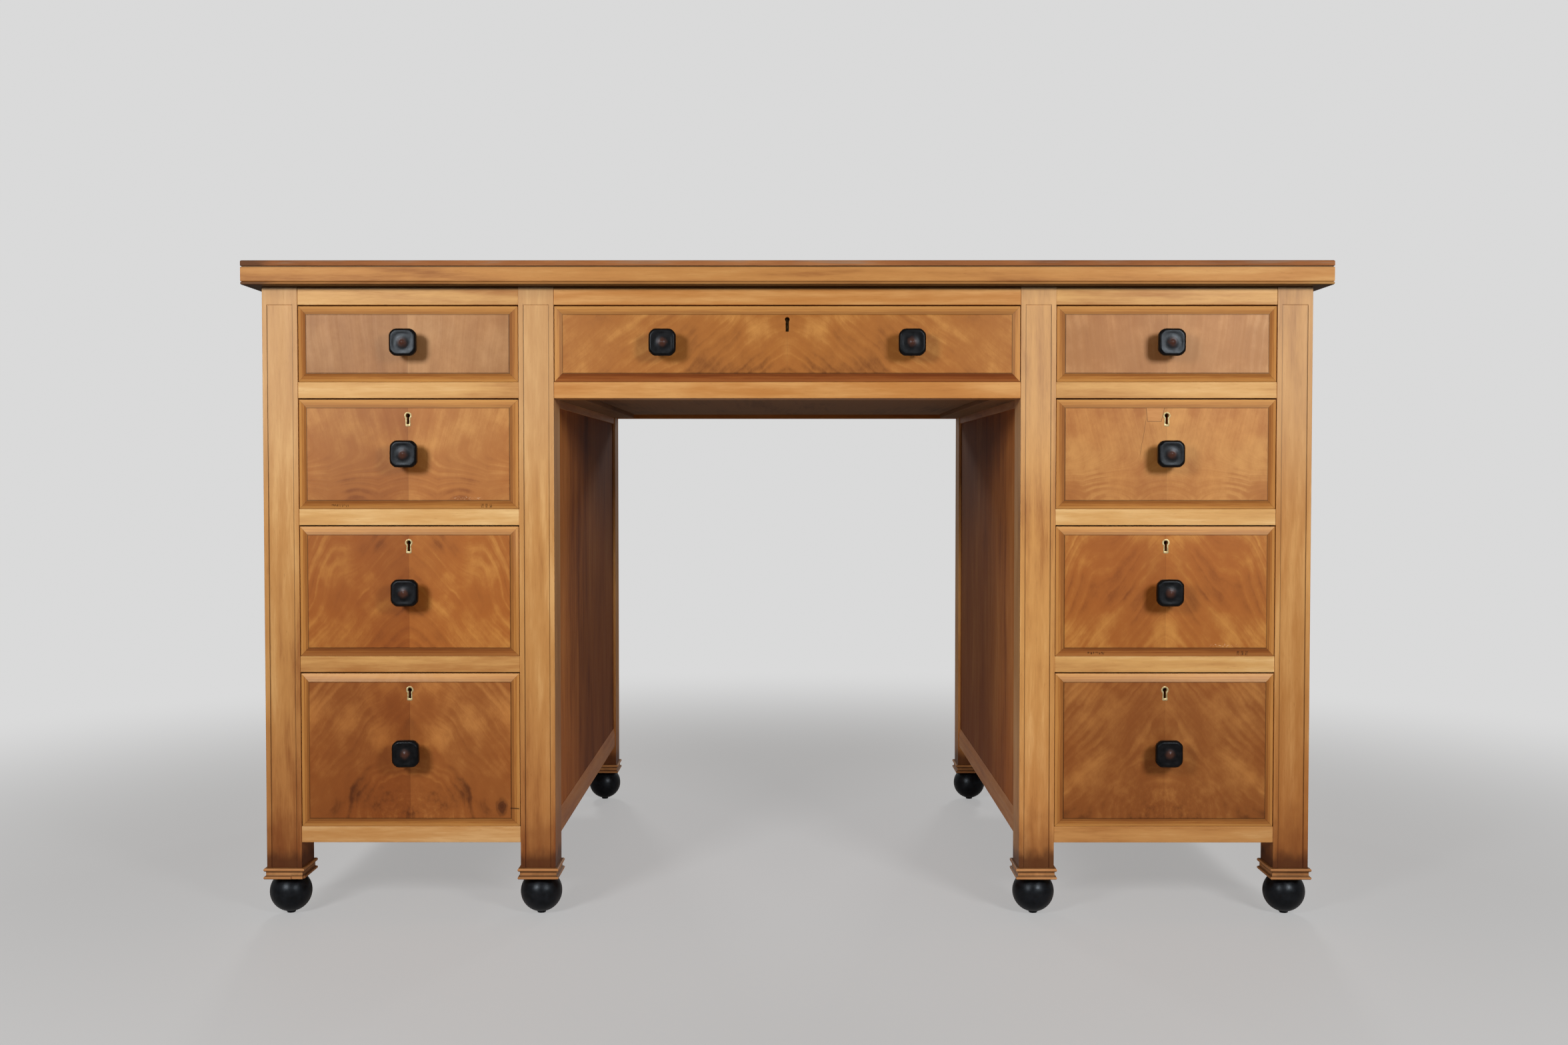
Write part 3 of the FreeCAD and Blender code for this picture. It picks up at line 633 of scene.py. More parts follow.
def hidden_wood():
    """Unpolished wood for parts that keep their solids: streaks that run from front to back."""
    finish = Finish("hidden wood", 0.65, 0.3, WHITE)
    x, y, z = finish.place()
    streaks = finish.noise(y * 5, x * 130, z * 130, detail=4.0, rough=0.6)
    colour = finish.mix(streaks.ramp(0.3, 0.7), linear(176, 138, 96), linear(128, 92, 58))
    return finish.coat(colour, streaks, bump=0.12 * MM)


lining = bare_wood("drawer lining", linear(174, 128, 84), linear(218, 178, 134))
inside = bare_wood("inside wood", linear(112, 78, 48), linear(150, 110, 70))
hidden = hidden_wood()
for part in ("drawer_runners", "kneehole_dust_board"):
    finish_boards(part, inside)
for part in ("drawer_guides", "drawer_kickers", "drawer_stops", "top_blocks"):
    paint(part, hidden)
boxes = named("drawer_box_")
for part in boxes:
    finish_boards(part, lining)
print("drawer boxes:", len(boxes))

# %% [markdown]
# The drawer fronts are the show pieces. A cabinet maker cuts two leaves of veneer one after the other from
# the same log and opens them like a book, so the figure on the left of the seam mirrors the figure on the
# right. The leaves reflect light differently, and the left one looks redder. Round the field runs a sloping
# border of plainer wood, mitred at its corners. Drawers of one row share a finish, so what differs between
# them is stored on their points: how far a point is from the middle of the front, the half size of the
# front with a random step, the front's tones, and which marks of wear it bears.

# %% Measures on the drawer fronts
BORDER = 9.5 * MM
FIELD_EDGE = 10.1 * MM
FRONT_ARRIS = 0.25 * MM


def finish_front(part, finish, tone, marks):
    """Show a drawer front, with its own coordinates from the middle of its face.

    tone is how much darker and redder the left leaf is, how light both are, and how much painted shade the
    low border gets. marks is how bruised, patched and knotted the front is.
    """
    mesh = clean_copy(part)
    low, high = (np.array(corner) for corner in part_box(part))
    middle = (low + high) / 2
    middle[1] = low[1]
    points = points_of(mesh)
    write_vector(mesh, "front", (points - middle)[:, [0, 2, 1]])
    size = ((high[0] - low[0]) / 2, (high[2] - low[2]) / 2, rng.uniform(0, PATTERN_SHIFT))
    for name, values in (("size", size), ("tone", tone), ("marks", marks)):
        write_vector(mesh, name, np.tile(values, (len(points), 1)))
    piece = show(mesh, part + "_finished", finish)
    ease_edges(piece, FRONT_ARRIS)
    stand_in(piece, part)


print("border", BORDER, "field edge", FIELD_EDGE)

# %% [markdown]
# Figured veneer is drawn by its flow: a number that is the same all along one line of the figure. Noise
# along the flow then gives the light and dark bands, the narrow streaks and the hair-fine fibres, and slow
# noise bends the flow itself so that nothing looks ruled. Where the flow is the distance from the seam, the
# lines stand upright, as on a leaf cut from a straight trunk.

# %% Upright and hilly figure


def upright_flow(finish, out, z, half_x, half_z, seed):
    """The distance from the seam less a tenth of the level: upright lines that lean out a little."""
    bend = finish.noise(out * 14, z * 8, seed)
    return out - z * 0.1 + bend * (24 * MM)


def hilly_flow(finish, out, z, half_x, half_z, seed):
    """Low down, hills with sharp valleys between them. Higher up they give way to upright lines.

    The hills are the level less the size of a sine of the distance from the seam, which is round at its
    tops and sharp where it comes back from zero.
    """
    bend = finish.noise(out * 14, z * 9, seed, detail=3.0)
    hills = abs((out * (math.pi / 0.06) + bend * 1.2 + 0.7).wave())
    lower = (z / half_z).ramp(0.1, -0.8)
    hilly = z - hills * (20 * MM)
    upright = out * 0.9 - z * 0.25
    return upright + (hilly - upright) * lower + bend * (16 * MM)


print("figures:", [flow.__name__ for flow in (upright_flow, hilly_flow)])

# %% [markdown]
# Where the flow is the level plus a slope that grows with the distance from the seam, the lines make
# nested arches with their tops on the seam. A leaf cut through a crotch, where two boughs part, has round
# arches low in the middle and long straight slopes above them.

# %% Arched and crotch figure


def arched_flow(slope, top_round, wander, shoulder=0.0):
    """Nested arches with a round top on the seam.

    The flow is the level plus a root of two squares, of the sloped distance from the seam and of the
    roundness of the top, so each line is a hyperbola. With a shoulder, the lines rise again to a second
    arch near the outer edge in the upper half.
    """

    def flow(finish, out, z, half_x, half_z, seed):
        bend = finish.noise(out * 13, z * 8, seed)
        ripple = finish.noise(out * 50, z * 34, seed, detail=3.0, rough=0.6)
        across = out * slope
        line = z + (across * across + top_round ** 2).root() + bend * wander + ripple * (9 * MM)
        if shoulder:
            place = out / half_x
            swell = place.ramp(0.42, 0.72) * place.ramp(1.12, 0.74)
            line = line - swell * (z / half_z).ramp(-0.5, 0.5) * shoulder
        return line

    return flow


def crotch_flow(finish, out, z, half_x, half_z, seed):
    """Round arches about the low middle, which open out into straight slopes that meet on the seam.

    Near the low middle the flow is the distance from a point on the seam. Further out it is a sum of
    the level and the distance from the seam, and it passes from one to the other in between.
    """
    bend = finish.noise(out * 12, z * 9, seed)
    ripple = finish.noise(out * 42, z * 30, seed, detail=3.0, rough=0.6)
    up = z + half_z - 8 * MM
    dome = (out * out + up * up).root()
    slopes = up * 0.68 + out * 0.78
    share = dome.ramp(60 * MM, 125 * MM)
    swirl = finish.noise(out * 38, z * 34, seed, detail=3.0) * share.flipped()
    return dome + (slopes - dome) * share + bend * (36 * MM) + ripple * (8 * MM) + swirl * (16 * MM)


print("figures:", [flow.__name__ for flow in (arched_flow, crotch_flow)])

# %% [markdown]
# The border round the field is made of four strips of wood cut at 45 degrees. The solid front has its slope
# already, so it needs no mesh of its own and is coloured by the distance from the front's edge: a light
# strip, a brown band, and a darker band and a dark line of painted shade beside the raised field, with the
# grain along each side and a fine line at the mitres. The top side catches the light, and on some rows the
# low side gets painted shade, darker and redder, as it faces away from the lamps.

# %% The mitred border
LOW_BORDER_SHADE = (0.6, 0.42, 0.4, 1.0)


def inset_of(x, z, half_x, half_z):
    """How far in from the nearest edge of the front a point lies."""
    return (half_x - abs(x)).least(half_z - abs(z))


def border(finish, x, z, half_x, half_z, seed):
    """The mitred border: strips of colour by the inset, with grain along each side.

    A point is on an upright side where that side is nearer than the top or bottom. On the mitre the two
    are equally far.
    """
    inset = inset_of(x, z, half_x, half_z)
    past_mitre = (half_z - abs(z)) - (half_x - abs(x))
    upright = past_mitre.ramp(-0.1 * MM, 0.1 * MM)
    run = x + upright * (z - x)
    streaks = finish.noise(run * 9 + upright * 5.0, inset * 420, seed, detail=4.0, rough=0.6)
    flecks = finish.noise(run * 60, inset * 900, seed, detail=3.0)
    tone = finish.noise(run * 6 + upright * 3.0, upright * 4.0, seed, detail=1.0)
    colour = finish.mix((streaks + flecks * 0.4).ramp(0.4, 0.95), linear(204, 142, 72), linear(166, 104, 50))
    colour = finish.mix(tone.ramp(0.35, 0.7) * 0.5, colour, linear(150, 88, 40))
    colour = finish.mix(inset.band(0.0, 3.0 * MM, 0.5 * MM) * 0.45, colour, linear(214, 156, 86))
    # Painted shade: a darker band beside the raised field.
    colour = finish.mix(inset.band(6.6 * MM, 9.0 * MM, 0.5 * MM) * 0.4, colour, linear(112, 56, 22))
    mitre = abs(past_mitre).ramp(0.45 * MM, 0.15 * MM)
    colour = finish.shade(mitre, colour, 0.3)
    # Painted shadow: a dark line where the border meets the raised field.
    groove = inset.band(9.3 * MM, 9.9 * MM, 0.25 * MM)
    colour = finish.shade(groove, colour, 0.4)
    top_side = upright.flipped() * z.ramp(-1.0 * MM, 1.0 * MM)
    colour = finish.mix(top_side * 0.18, colour, linear(226, 172, 104))
    # Painted shade: the low side of the border faces away from the lamps, so it is made darker and redder.
    low_side = upright.flipped() * z.ramp(1.0 * MM, -1.0 * MM)
    _, _, low_shade = finish.read("tone")
    return tinted(finish, low_side * low_shade, colour, LOW_BORDER_SHADE)


print("redder low borders are tinted", LOW_BORDER_SHADE[:3])

# %% [markdown]
# The desk has been lived with, and its marks are part of how it looks: bruises and scuffs on two low
# borders, a piece of newer wood let in beside one keyhole with a crack under it, and a knot with a split
# beside it in the lowest left drawer. Each is a mask made of bands and noise, times the front's own mark,
# so the drawers that don't bear it stay clean.

# %% Marks of wear
INK = linear(44, 24, 16)


def bruises(finish, colour, x, z, half_z, seed):
    """Small black bruises on the lower border and pale scuffs over it, on drawers marked bruised."""
    bruised, _, _ = finish.read("marks")
    height = z + half_z
    strokes = finish.noise(x * 900, height * 260, seed).ramp(0.5, 0.6)
    left_place = x.band(-91 * MM, -72 * MM, 1.5 * MM) * height.band(2.4 * MM, 4.8 * MM, 0.6 * MM)
    thirds = abs(((x - 84 * MM) * (math.pi / (5 * MM))).wave()).ramp(0.35, 0.75)
    right_place = x.band(84 * MM, 99 * MM, 0.4 * MM) * height.band(1.6 * MM, 5.6 * MM, 0.8 * MM) * thirds
    black = left_place * strokes + right_place * (strokes * 0.6 + 0.25)
    colour = finish.mix(bruised * black.least(1.0) * 0.85, colour, INK)
    rubs = finish.noise(x * 420, height * 900, seed).ramp(0.56, 0.66)
    rub_place = x.band(56 * MM, 84 * MM, 5 * MM) * height.band(11.5 * MM, 14 * MM, 1.0 * MM)
    return finish.mix(bruised * rubs * rub_place * 0.6, colour, linear(226, 196, 160))


def repairs(finish, colour, x, z, half_z, seed):
    """Bruises, and on the patched drawer a let-in piece beside the keyhole with a crack below it."""
    colour = bruises(finish, colour, x, z, half_z, seed)
    _, patched, _ = finish.read("marks")
    down = half_z - FIELD_EDGE - z
    left_side = x + 24 * MM - down * 0.1
    right_side = x * -1 - 3 * MM - down * 0.23
    inside = left_side.least(right_side).least(down).least(down * -1 + 15.5 * MM)
    grain = finish.noise(x * 90 + z * 40, z * 500, seed, detail=3.0)
    new_wood = finish.mix(grain, linear(206, 146, 84), linear(184, 118, 60))
    colour = finish.mix(patched * inside.ramp(-0.1 * MM, 0.1 * MM), colour, new_wood)
    joint = inside.band(-0.45 * MM, 0.1 * MM, 0.25 * MM) * down.ramp(-0.2 * MM, 0.2 * MM)
    colour = finish.shade(patched * joint, colour, 0.5)
    wander = finish.noise(z * 60, 0.0, seed)
    crack = abs(x + 21 * MM + down * 0.16 + wander * (3 * MM)).ramp(0.5 * MM, 0.15 * MM)
    below = down.band(15.5 * MM, 52 * MM, 6 * MM)
    return finish.shade(patched * crack * below, colour, 0.4)


def knot(finish, colour, x, z, half_z, seed):
    """A dark knot near the low right corner of the knotted drawer, and a split in the border beside it."""
    _, _, knotted = finish.read("marks")
    height = z + half_z
    soft = finish.noise(x * 160, z * 110, seed, detail=3.0)
    side = (x - 108 * MM) / (8 * MM)
    level = (height - 24 * MM) / (12 * MM)
    away = (side * side + level * level).root() + (soft - 0.5) * 0.7
    colour = finish.mix(knotted * away.ramp(1.15, 0.25) * 0.8, colour, linear(72, 30, 14))
    rings = ((away * 16.0).wave() * 0.5 + 0.5) * away.ramp(1.0, 0.7)
    colour = finish.shade(knotted * rings, colour, 0.25)
    split = abs(height - 22 * MM + (x - 118 * MM) * 0.12).ramp(1.1 * MM, 0.3 * MM)
    along_split = x.band(118.5 * MM, 128 * MM, 0.5 * MM)
    return finish.mix(knotted * split * along_split * 0.8, colour, INK)


print("marks of wear:", [mark.__name__ for mark in (bruises, repairs, knot)])

# %% [markdown]
# Two leaves that lie open like a book are never quite one colour, because each turns its other side to the
# light. The left one is tinted most beside the seam, where the eye compares them. Ruddy patches, the thin
# dark line of the seam and the pores are the same for every kind of figure.

# %% Two leaves of one log
LEFT_TINT = (0.78, 0.68, 0.6, 1.0)
RUDDY = (1.0, 0.86, 0.7, 1.0)


def book_matched(finish, leaf, x, out, z, half_x, seed):
    """Tint the left leaf, and add ruddy patches, the seam and the pores. Returns the colour and the pores."""
    left_tint, lightness, _ = finish.read("tone")
    left = x.ramp(0.15 * MM, -0.15 * MM)
    near_seam = (out / half_x).ramp(1.7, 0.0)
    leaf = tinted(finish, left * near_seam * left_tint, leaf, LEFT_TINT)
    ruddy = finish.noise(out * 11 + 4.0, z * 10, seed).ramp(0.4, 0.68)
    leaf = tinted(finish, ruddy * 0.35, leaf, RUDDY)
    leaf = tinted(finish, 1.0, leaf, finish.vector(lightness, lightness, lightness))
    seam = out.ramp(0.5 * MM, 0.2 * MM)
    leaf = finish.shade(seam, leaf, 0.12)
    pores = finish.noise(x * 1500, z * 110, seed, detail=1.0).ramp(0.64, 0.76)
    return finish.shade(pores, leaf, 0.05), pores


print("left leaves are tinted", LEFT_TINT[:3])

# %% [markdown]
# One function makes the finish of every front, from its flow and its three colours. The leaf takes its
# depth of colour from bands, growth lines, streaks and clouds added up. The growth lines are a sawtooth of
# the flow that fades in and out, since ruled lines never look like wood.

# %% Figured veneer
GROWTH_PITCH = 21 * MM


def veneer(name, flow_of, dark, middle, light, band_share, line_share, line_pitch=GROWTH_PITCH, burr=0.0,
           corners=0.0, mark=None):
    """Book-matched veneer in a mitred border.

    band_share and line_share are how bold the bands and the growth lines are, line_pitch is how far
    apart the lines run, burr how strongly blots show low in the middle, and corners how dark the low
    corners are. mark adds the marks of wear to the colour.
    """
    finish = Finish(name, 0.4, 0.35)
    x, z, _ = finish.read("front")
    half_x, half_z, seed = finish.read("size")
    out = abs(x)
    flow = flow_of(finish, out, z, half_x, half_z, seed)
    bands = finish.noise(flow * 40, out * 6, seed)
    growth = (flow * (1 / line_pitch) + bands * 1.2).math("FRACT")
    in_places = finish.noise(out * 22, z * 19, seed, detail=1.0).ramp(0.42, 0.6)
    lines = growth.ramp(0.0, 0.7) * growth.ramp(1.0, 0.72) * in_places
    streaks = finish.noise(flow * 210, out * 14, seed, detail=4.0, rough=0.6)
    cloud = finish.noise(out * 15, z * 13, seed, detail=4.0, rough=0.55)
    mottle = finish.noise(out * 60, z * 46, seed)
    fibres = finish.noise(flow * 1100, z * 90, seed)
    speckle = finish.noise(x * 520, z * 260, seed, detail=3.0, rough=0.7)
    depth = (bands * band_share + lines * line_share + streaks * 0.3 + cloud * 1.25 + mottle * 0.35
             + fibres * 0.1 + speckle * 0.16 - (0.71 + band_share / 2))
    relief = streaks
    if burr:
        low_middle = (out / half_x).ramp(0.8, 0.05) * (z / half_z).ramp(-0.25, -0.85)
        blots = finish.noise(out * 190, z * 130, seed, detail=4.0, rough=0.6)
        depth = depth + low_middle * ((blots - 0.5) * (1.5 * burr) + burr * 0.3)
        relief = relief + low_middle * finish.noise(x * 240, z * 170, seed, detail=3.0) * (14.0 * burr)
    if corners:
        depth = depth + (out / half_x).ramp(0.35, 1.0) * (z / half_z).ramp(-0.1, -1.0) * corners
    leaf = finish.mix(depth.ramp(0.0, 0.52), light, middle)
    leaf = finish.mix(depth.ramp(0.48, 1.0), leaf, dark)
    leaf, pores = book_matched(finish, leaf, x, out, z, half_x, seed)
    inset = inset_of(x, z, half_x, half_z)
    # Painted shadow: a dark line along the raised field's ledge.
    ledge = inset.band(BORDER, FIELD_EDGE + 0.3 * MM, 0.3 * MM)
    colour = finish.mix(inset.ramp(BORDER, FIELD_EDGE - 0.2 * MM),
                        border(finish, x, z, half_x, half_z, seed), leaf)
    colour = finish.shade(ledge, colour, 0.35)
    if mark:
        colour = mark(finish, colour, x, z, half_z, seed)
    return finish.coat(colour, relief + pores.flipped() * 0.2, bump=0.06 * MM,
                       roughness=streaks * 0.12 + 0.34)


print("growth lines are", GROWTH_PITCH, "apart unless asked otherwise")

# %% [markdown]
# Each row of drawers has its own log. The top row has upright figure, the second row hills, the third
# arches, the lowest a crotch, and the wide drawer flat arches that run out to both its ends. Within a row
# the fronts still differ a little: the two leaves part most in colour on the left pedestal, some fronts
# are lighter or darker than the rest, and four bear marks of wear.

# %% The nine fronts
row_finish = {
    "1": veneer("veneer, upright figure", upright_flow, linear(134, 80, 45), linear(166, 113, 68),
                linear(192, 141, 93), band_share=0.46, line_share=0.16),
    "2": veneer("veneer, hilly figure", hilly_flow, linear(134, 72, 30), linear(174, 110, 54),
                linear(206, 148, 82), band_share=0.42, line_share=0.18, mark=repairs),
    "3": veneer("veneer, arched figure", arched_flow(1.3, 12 * MM, 40 * MM, 34 * MM), linear(118, 58, 20),
                linear(168, 98, 40), linear(204, 142, 70), band_share=0.5, line_share=0.2, mark=bruises),
    "4": veneer("veneer, crotch figure", crotch_flow, linear(94, 48, 20), linear(152, 88, 40),
                linear(194, 130, 68), band_share=0.75, line_share=0.12, line_pitch=9 * MM, burr=0.7,
                corners=0.3, mark=knot),
    "centre": veneer("veneer, wide arches", arched_flow(0.8, 9 * MM, 34 * MM), linear(120, 66, 26),
                     linear(174, 108, 48), linear(212, 150, 78), band_share=0.6, line_share=0.16,
                     line_pitch=13 * MM, burr=0.3),
}
LEAF_TINTS = {"left": 1.0, "right": 0.45, "centre": 0.0}
LIGHTNESS = {"right_4": 0.88, "centre": 0.97, "left_1": 0.91, "right_1": 1.07}
# How much painted shade the low border of each row gets.
LOW_SHADES = {"3": 0.65, "centre": 1.0}
BRUISED, PATCHED, KNOTTED, UNMARKED = (1, 0, 0), (0, 1, 0), (0, 0, 1), (0, 0, 0)
MARKS = {"left_2": BRUISED, "right_2": PATCHED, "right_3": BRUISED, "left_4": KNOTTED}
fronts = {name[len("drawer_front_"):]: name for name in named("drawer_front_")}
for drawer, part in fronts.items():
    pedestal, row = drawer.split("_")[0], drawer.split("_")[-1]
    tone = (LEAF_TINTS[pedestal], LIGHTNESS.get(drawer, 1.0), LOW_SHADES.get(row, 0.0))
    finish_front(part, row_finish[row], tone, MARKS.get(drawer, UNMARKED))
print("fronts:", len(fronts))

# %% [markdown]
# The knobs, feet, collars and mouldings are turned or moulded pieces. Each is a surface with two
# parameters, one round the piece and one along its profile. Its points make a grid of rows and columns,
# and each face joins four neighbours in it. Round the piece the last column leads back to the first.

# %% The faces of a grid


def grid_faces(rows, columns, wrap_rows=False):
    """The four corners of each face of a grid, as point numbers. The columns close into a loop."""
    row = np.arange(rows if wrap_rows else rows - 1)[:, None]
    column = np.arange(columns)[None, :]
    next_row = (row + 1) % rows
    next_column = (column + 1) % columns
    corners = [row * columns + column, row * columns + next_column,
               next_row * columns + next_column, next_row * columns + column]
    return np.stack([np.broadcast_to(c, (row.size, column.size)) for c in corners], axis=-1).reshape(-1, 4)


def capped_faces(rows, columns):
    """The faces of a grid whose first and last rows are closed by one face each."""
    loop = np.arange(columns)
    return list(grid_faces(rows, columns)) + [loop, loop[::-1] + (rows - 1) * columns]


print("a loop of 8 points in 3 rows has", len(capped_faces(3, 8)), "faces with its caps")

# %% [markdown]
# The next helpers turn such points and faces into a closed mesh that is smooth but for its real edges. A
# part like the feet is eight solids in one mesh. Each of them gives the box that its new piece is shaped
# in, and the new pieces are joined to one mesh again.

# %% A mesh from points and faces


def new_mesh(name, points, faces, sharp, vectors=None, merged=True):
    """A smooth mesh, sharp where faces meet at more than sharp degrees, its normals outwards.

    vectors is the name of an attribute, its values and whether they belong to points or to corners.
    Points that lie on each other, as at a mitre, are merged unless asked otherwise.
    """
    mesh = bpy.data.meshes.new(name)
    mesh.from_pydata(points.reshape(-1, 3).tolist(), [], [list(map(int, face)) for face in faces])
    if vectors:
        write_vector(mesh, *vectors)
    work = bmesh.new()
    work.from_mesh(mesh)
    if merged:
        bmesh.ops.remove_doubles(work, verts=work.verts, dist=0.002 * MM)
    bmesh.ops.recalc_face_normals(work, faces=work.faces)
    work.to_mesh(mesh)
    work.free()
    mesh.shade_smooth()
    mesh.set_sharp_from_angle(angle=math.radians(sharp))
    return mesh


def joined(parts):
    """The points and faces of several pieces as one. What else a piece brings is left aside."""
    points, faces, count = [], [], 0
    for piece_points, piece_faces, *_ in parts:
        piece_points = piece_points.reshape(-1, 3)
        points.append(piece_points)
        faces.extend([[int(v) + count for v in face] for face in piece_faces])
        count += len(piece_points)
    return np.concatenate(points), faces


def boxes_of(part):
    """The low and high corner of each solid in a part, from left to right."""
    mesh = clean_copy(part)
    points = points_of(mesh)
    numbers = board_numbers(mesh)
    bpy.data.meshes.remove(mesh)
    found = [(points[numbers == n].min(axis=0), points[numbers == n].max(axis=0))
             for n in range(numbers.max() + 1)]
    return sorted(found, key=lambda pair: pair[0][0])


print("knobs on the wide drawer:", len(boxes_of("knob_centre")))

# %% [markdown]
# A knob has a square head with clipped, rounded corners. Such an outline could be drawn corner by corner,
# but one formula for the radius at each angle is shorter, and it can later be blended with a circle.

# %% The outline of a knob
KNOB_CLIP = 5.4 * MM
KNOB_CORNER_POWER = 22.0


def square_radius(angle, half, clip, power):
    """The radius of a clipped square with soft corners, at each angle.

    Each of its eight sides gives a cosine over its reach. High powers of these are added, the same root
    is taken of the sum, and the radius is one over that.
    """
    sides = np.arange(8) * math.pi / 4
    reach = np.where(np.arange(8) % 2 == 0, half, half * math.sqrt(2) - clip / math.sqrt(2))
    facing = np.maximum(0, np.cos(angle[:, None] - sides[None, :])) / reach[None, :]
    return 1 / (facing ** power).sum(axis=1) ** (1 / power)


corner_view = square_radius(np.array([0, math.pi / 4]), 15 * MM, KNOB_CLIP, KNOB_CORNER_POWER)
print("a 15 mm square reaches", corner_view.round(4), "to its side and corner")

# %% [markdown]
# Seen from the side, the head has a bevelled rim, and a face that sinks a little inside the rim and rises
# to a soft tip. Behind the head a round neck narrows to a waist and widens to its foot. The profile also
# says how square the knob is in each row: the neck is round, the head square and the tip round again.

# %% The profile of a knob
HEAD_THICKNESS = 8 * MM
TIP_RISE = 2 * MM
NEARLY_ZERO = 0.02 * MM


def smooth_step(value):
    """0 below 0, 1 above 1, and three times the square less twice the cube between them."""
    value = np.clip(value, 0, 1)
    return value * value * (3 - 2 * value)


def knob_profile(half, reach):
    """Rows of distance along the knob, radius, and how square the outline is, from foot to tip.

    The neck is a cosine between its foot, waist and shoulder. Inside its bevelled rim the face sinks a
    little and then rises to a soft tip, both as smooth steps of the radius.
    """
    head_back = reach - HEAD_THICKNESS - TIP_RISE
    rows = []
    for share in np.linspace(0, 1, 18):
        waist = 0.5 - 0.5 * math.cos(2 * math.pi * share ** 0.85)
        radius = (9.4 - 3.0 * waist - 1.0 * share) * MM
        rows.append((head_back * share, radius, 0.0))
    rows.append((head_back, 0.6 * half, 0.5))
    for ahead, inset in ((0.0, 0.9), (0.25, 0.25), (0.8, 0.0)):
        rows.append((head_back + ahead * MM, half - inset * MM, 1.0))
    face = head_back + HEAD_THICKNESS
    for back, inset in ((2.5, 0.0), (2.1, 0.15), (0.5, 1.5), (0.12, 1.95), (0.0, 2.6)):
        rows.append((face - back * MM, half - inset * MM, 1.0))
    field = half - 3.0 * MM
    for share in np.linspace(0, 1, 34):
        radius = field * (1 - share) + NEARLY_ZERO
        square = smooth_step((radius - 9.5 * MM) / (3.5 * MM))
        sink = 0.2 * MM * smooth_step((field - radius) / (3.0 * MM))
        rise = 0.9 * MM * smooth_step((9.0 * MM - radius) / (9.0 * MM))
        tip = 0.7 * MM * smooth_step((3.6 * MM - radius) / (3.6 * MM))
        rows.append((face - sink + rise + tip, radius, float(square)))
    return np.array(rows)


print("knob profile:", len(knob_profile(15 * MM, 26 * MM)), "rows")

# %% [markdown]
# The profile carried round makes the surface. The radius in each direction is the profile's radius times a
# blend of 1 and the radius of the square, so the outline goes from round to square and back without a seam.

# %% The surface of a knob
KNOB_TURNS = 96
TURNED_SHARP = 50


def knob(low, high, turn):
    """A knob in the box from low to high, turned by less than a degree on its dowel.

    The radius at an angle is the profile's, times the outline of the square as far as the profile is
    square there. The third result is each point's place on the knob: across, up and ahead.
    """
    centre = (low + high) / 2
    half = (high[0] - low[0]) / 2
    profile = knob_profile(half, high[1] - low[1])
    angle = np.arange(KNOB_TURNS) * 2 * math.pi / KNOB_TURNS
    square = square_radius(angle, half, KNOB_CLIP, KNOB_CORNER_POWER) / half
    ahead, radius, squareness = profile.T
    radii = radius[:, None] * (1 + squareness[:, None] * (square[None, :] - 1))
    ahead = np.broadcast_to(ahead[:, None], radii.shape)
    x = centre[0] + radii * np.cos(angle + turn)
    z = centre[2] + radii * np.sin(angle + turn)
    points = np.stack([x, high[1] - ahead, z], axis=-1)
    offsets = np.stack([radii * np.cos(angle), radii * np.sin(angle), ahead], axis=-1)
    return points, capped_faces(len(profile), KNOB_TURNS), offsets.reshape(-1, 3)


print("rows and columns of a knob:", knob(*boxes_of("knob_centre")[0], 0.0)[0].shape[:2])

# %% [markdown]
# The black pieces are ebonised: stained wood under a thin satin polish, which shows slate grey where light
# glances off it. Hands have rubbed the middle of each knob back to brown. No two knobs were screwed in
# quite alike, so each is turned by a small random angle.

# %% Ebonised knobs
SLATE = (0.8, 0.9, 1.0, 1.0)


def ebony(name, black, worn_black, specular, brown_middle=0.0):
    """Ebonised wood: near black with a slate sheen. brown_middle is how brown a knob's middle is rubbed."""
    finish = Finish(name, 0.4, specular, SLATE)
    x, y, z = finish.place()
    mottle = finish.noise(x * 160, y * 160, z * 160, detail=4.0)
    colour = finish.mix(mottle.ramp(0.3, 0.7), black, worn_black)
    if brown_middle:
        across, up, ahead = finish.read("knob")
        middle = (across * across + up * up).root()
        rubbed = (middle + mottle * (6 * MM)).ramp(10.5 * MM, 4 * MM) * ahead.ramp(22 * MM, 25 * MM)
        colour = finish.mix(rubbed * brown_middle, colour, linear(112, 70, 54))
        # Painted shade: the bevelled rim round the head is darkened.
        rim = middle.most(abs(across).most(abs(up))).ramp(13.2 * MM, 14.6 * MM)
        colour = finish.shade(rim, colour, 0.35)
    return finish.coat(colour, mottle, bump=0.12 * MM, roughness=mottle * 0.22 + 0.24)


knob_finish = ebony("ebonised wood, knobs", linear(5, 4, 4), linear(16, 14, 15), 0.21, brown_middle=0.45)
knobs = named("knob_")
for part in knobs:
    made = [knob(low, high, rng.uniform(-0.012, 0.012)) for low, high in boxes_of(part)]
    points, faces = joined(made)
    offsets = np.concatenate([places for *_, places in made])
    mesh = new_mesh(part + "_shaped", points, faces, TURNED_SHARP, ("knob", offsets, "POINT"), merged=False)
    stand_in(show(mesh, part + "_shaped", knob_finish), part)
print("knobs:", len(knobs))

# %% [markdown]
# A ball foot is turned on a lathe: a ball with a short flat where it meets the collar, and a small pip
# that lifts it off the floor. Its profile is an arc with the radius of the ball, so the surface is that
# arc carried round the vertical line through the foot.

# %% Turned ball feet
FOOT_TURNS = 72
PIP_HEIGHT = 1.7 * MM
PIP_PROFILE = np.array([(4.3, 0.0), (4.9, 0.3), (5.1, 0.9), (5.4, 1.8)]) * MM
PIP_JOIN = 5.9 * MM
BALL_RADIUS = 24.7 * MM


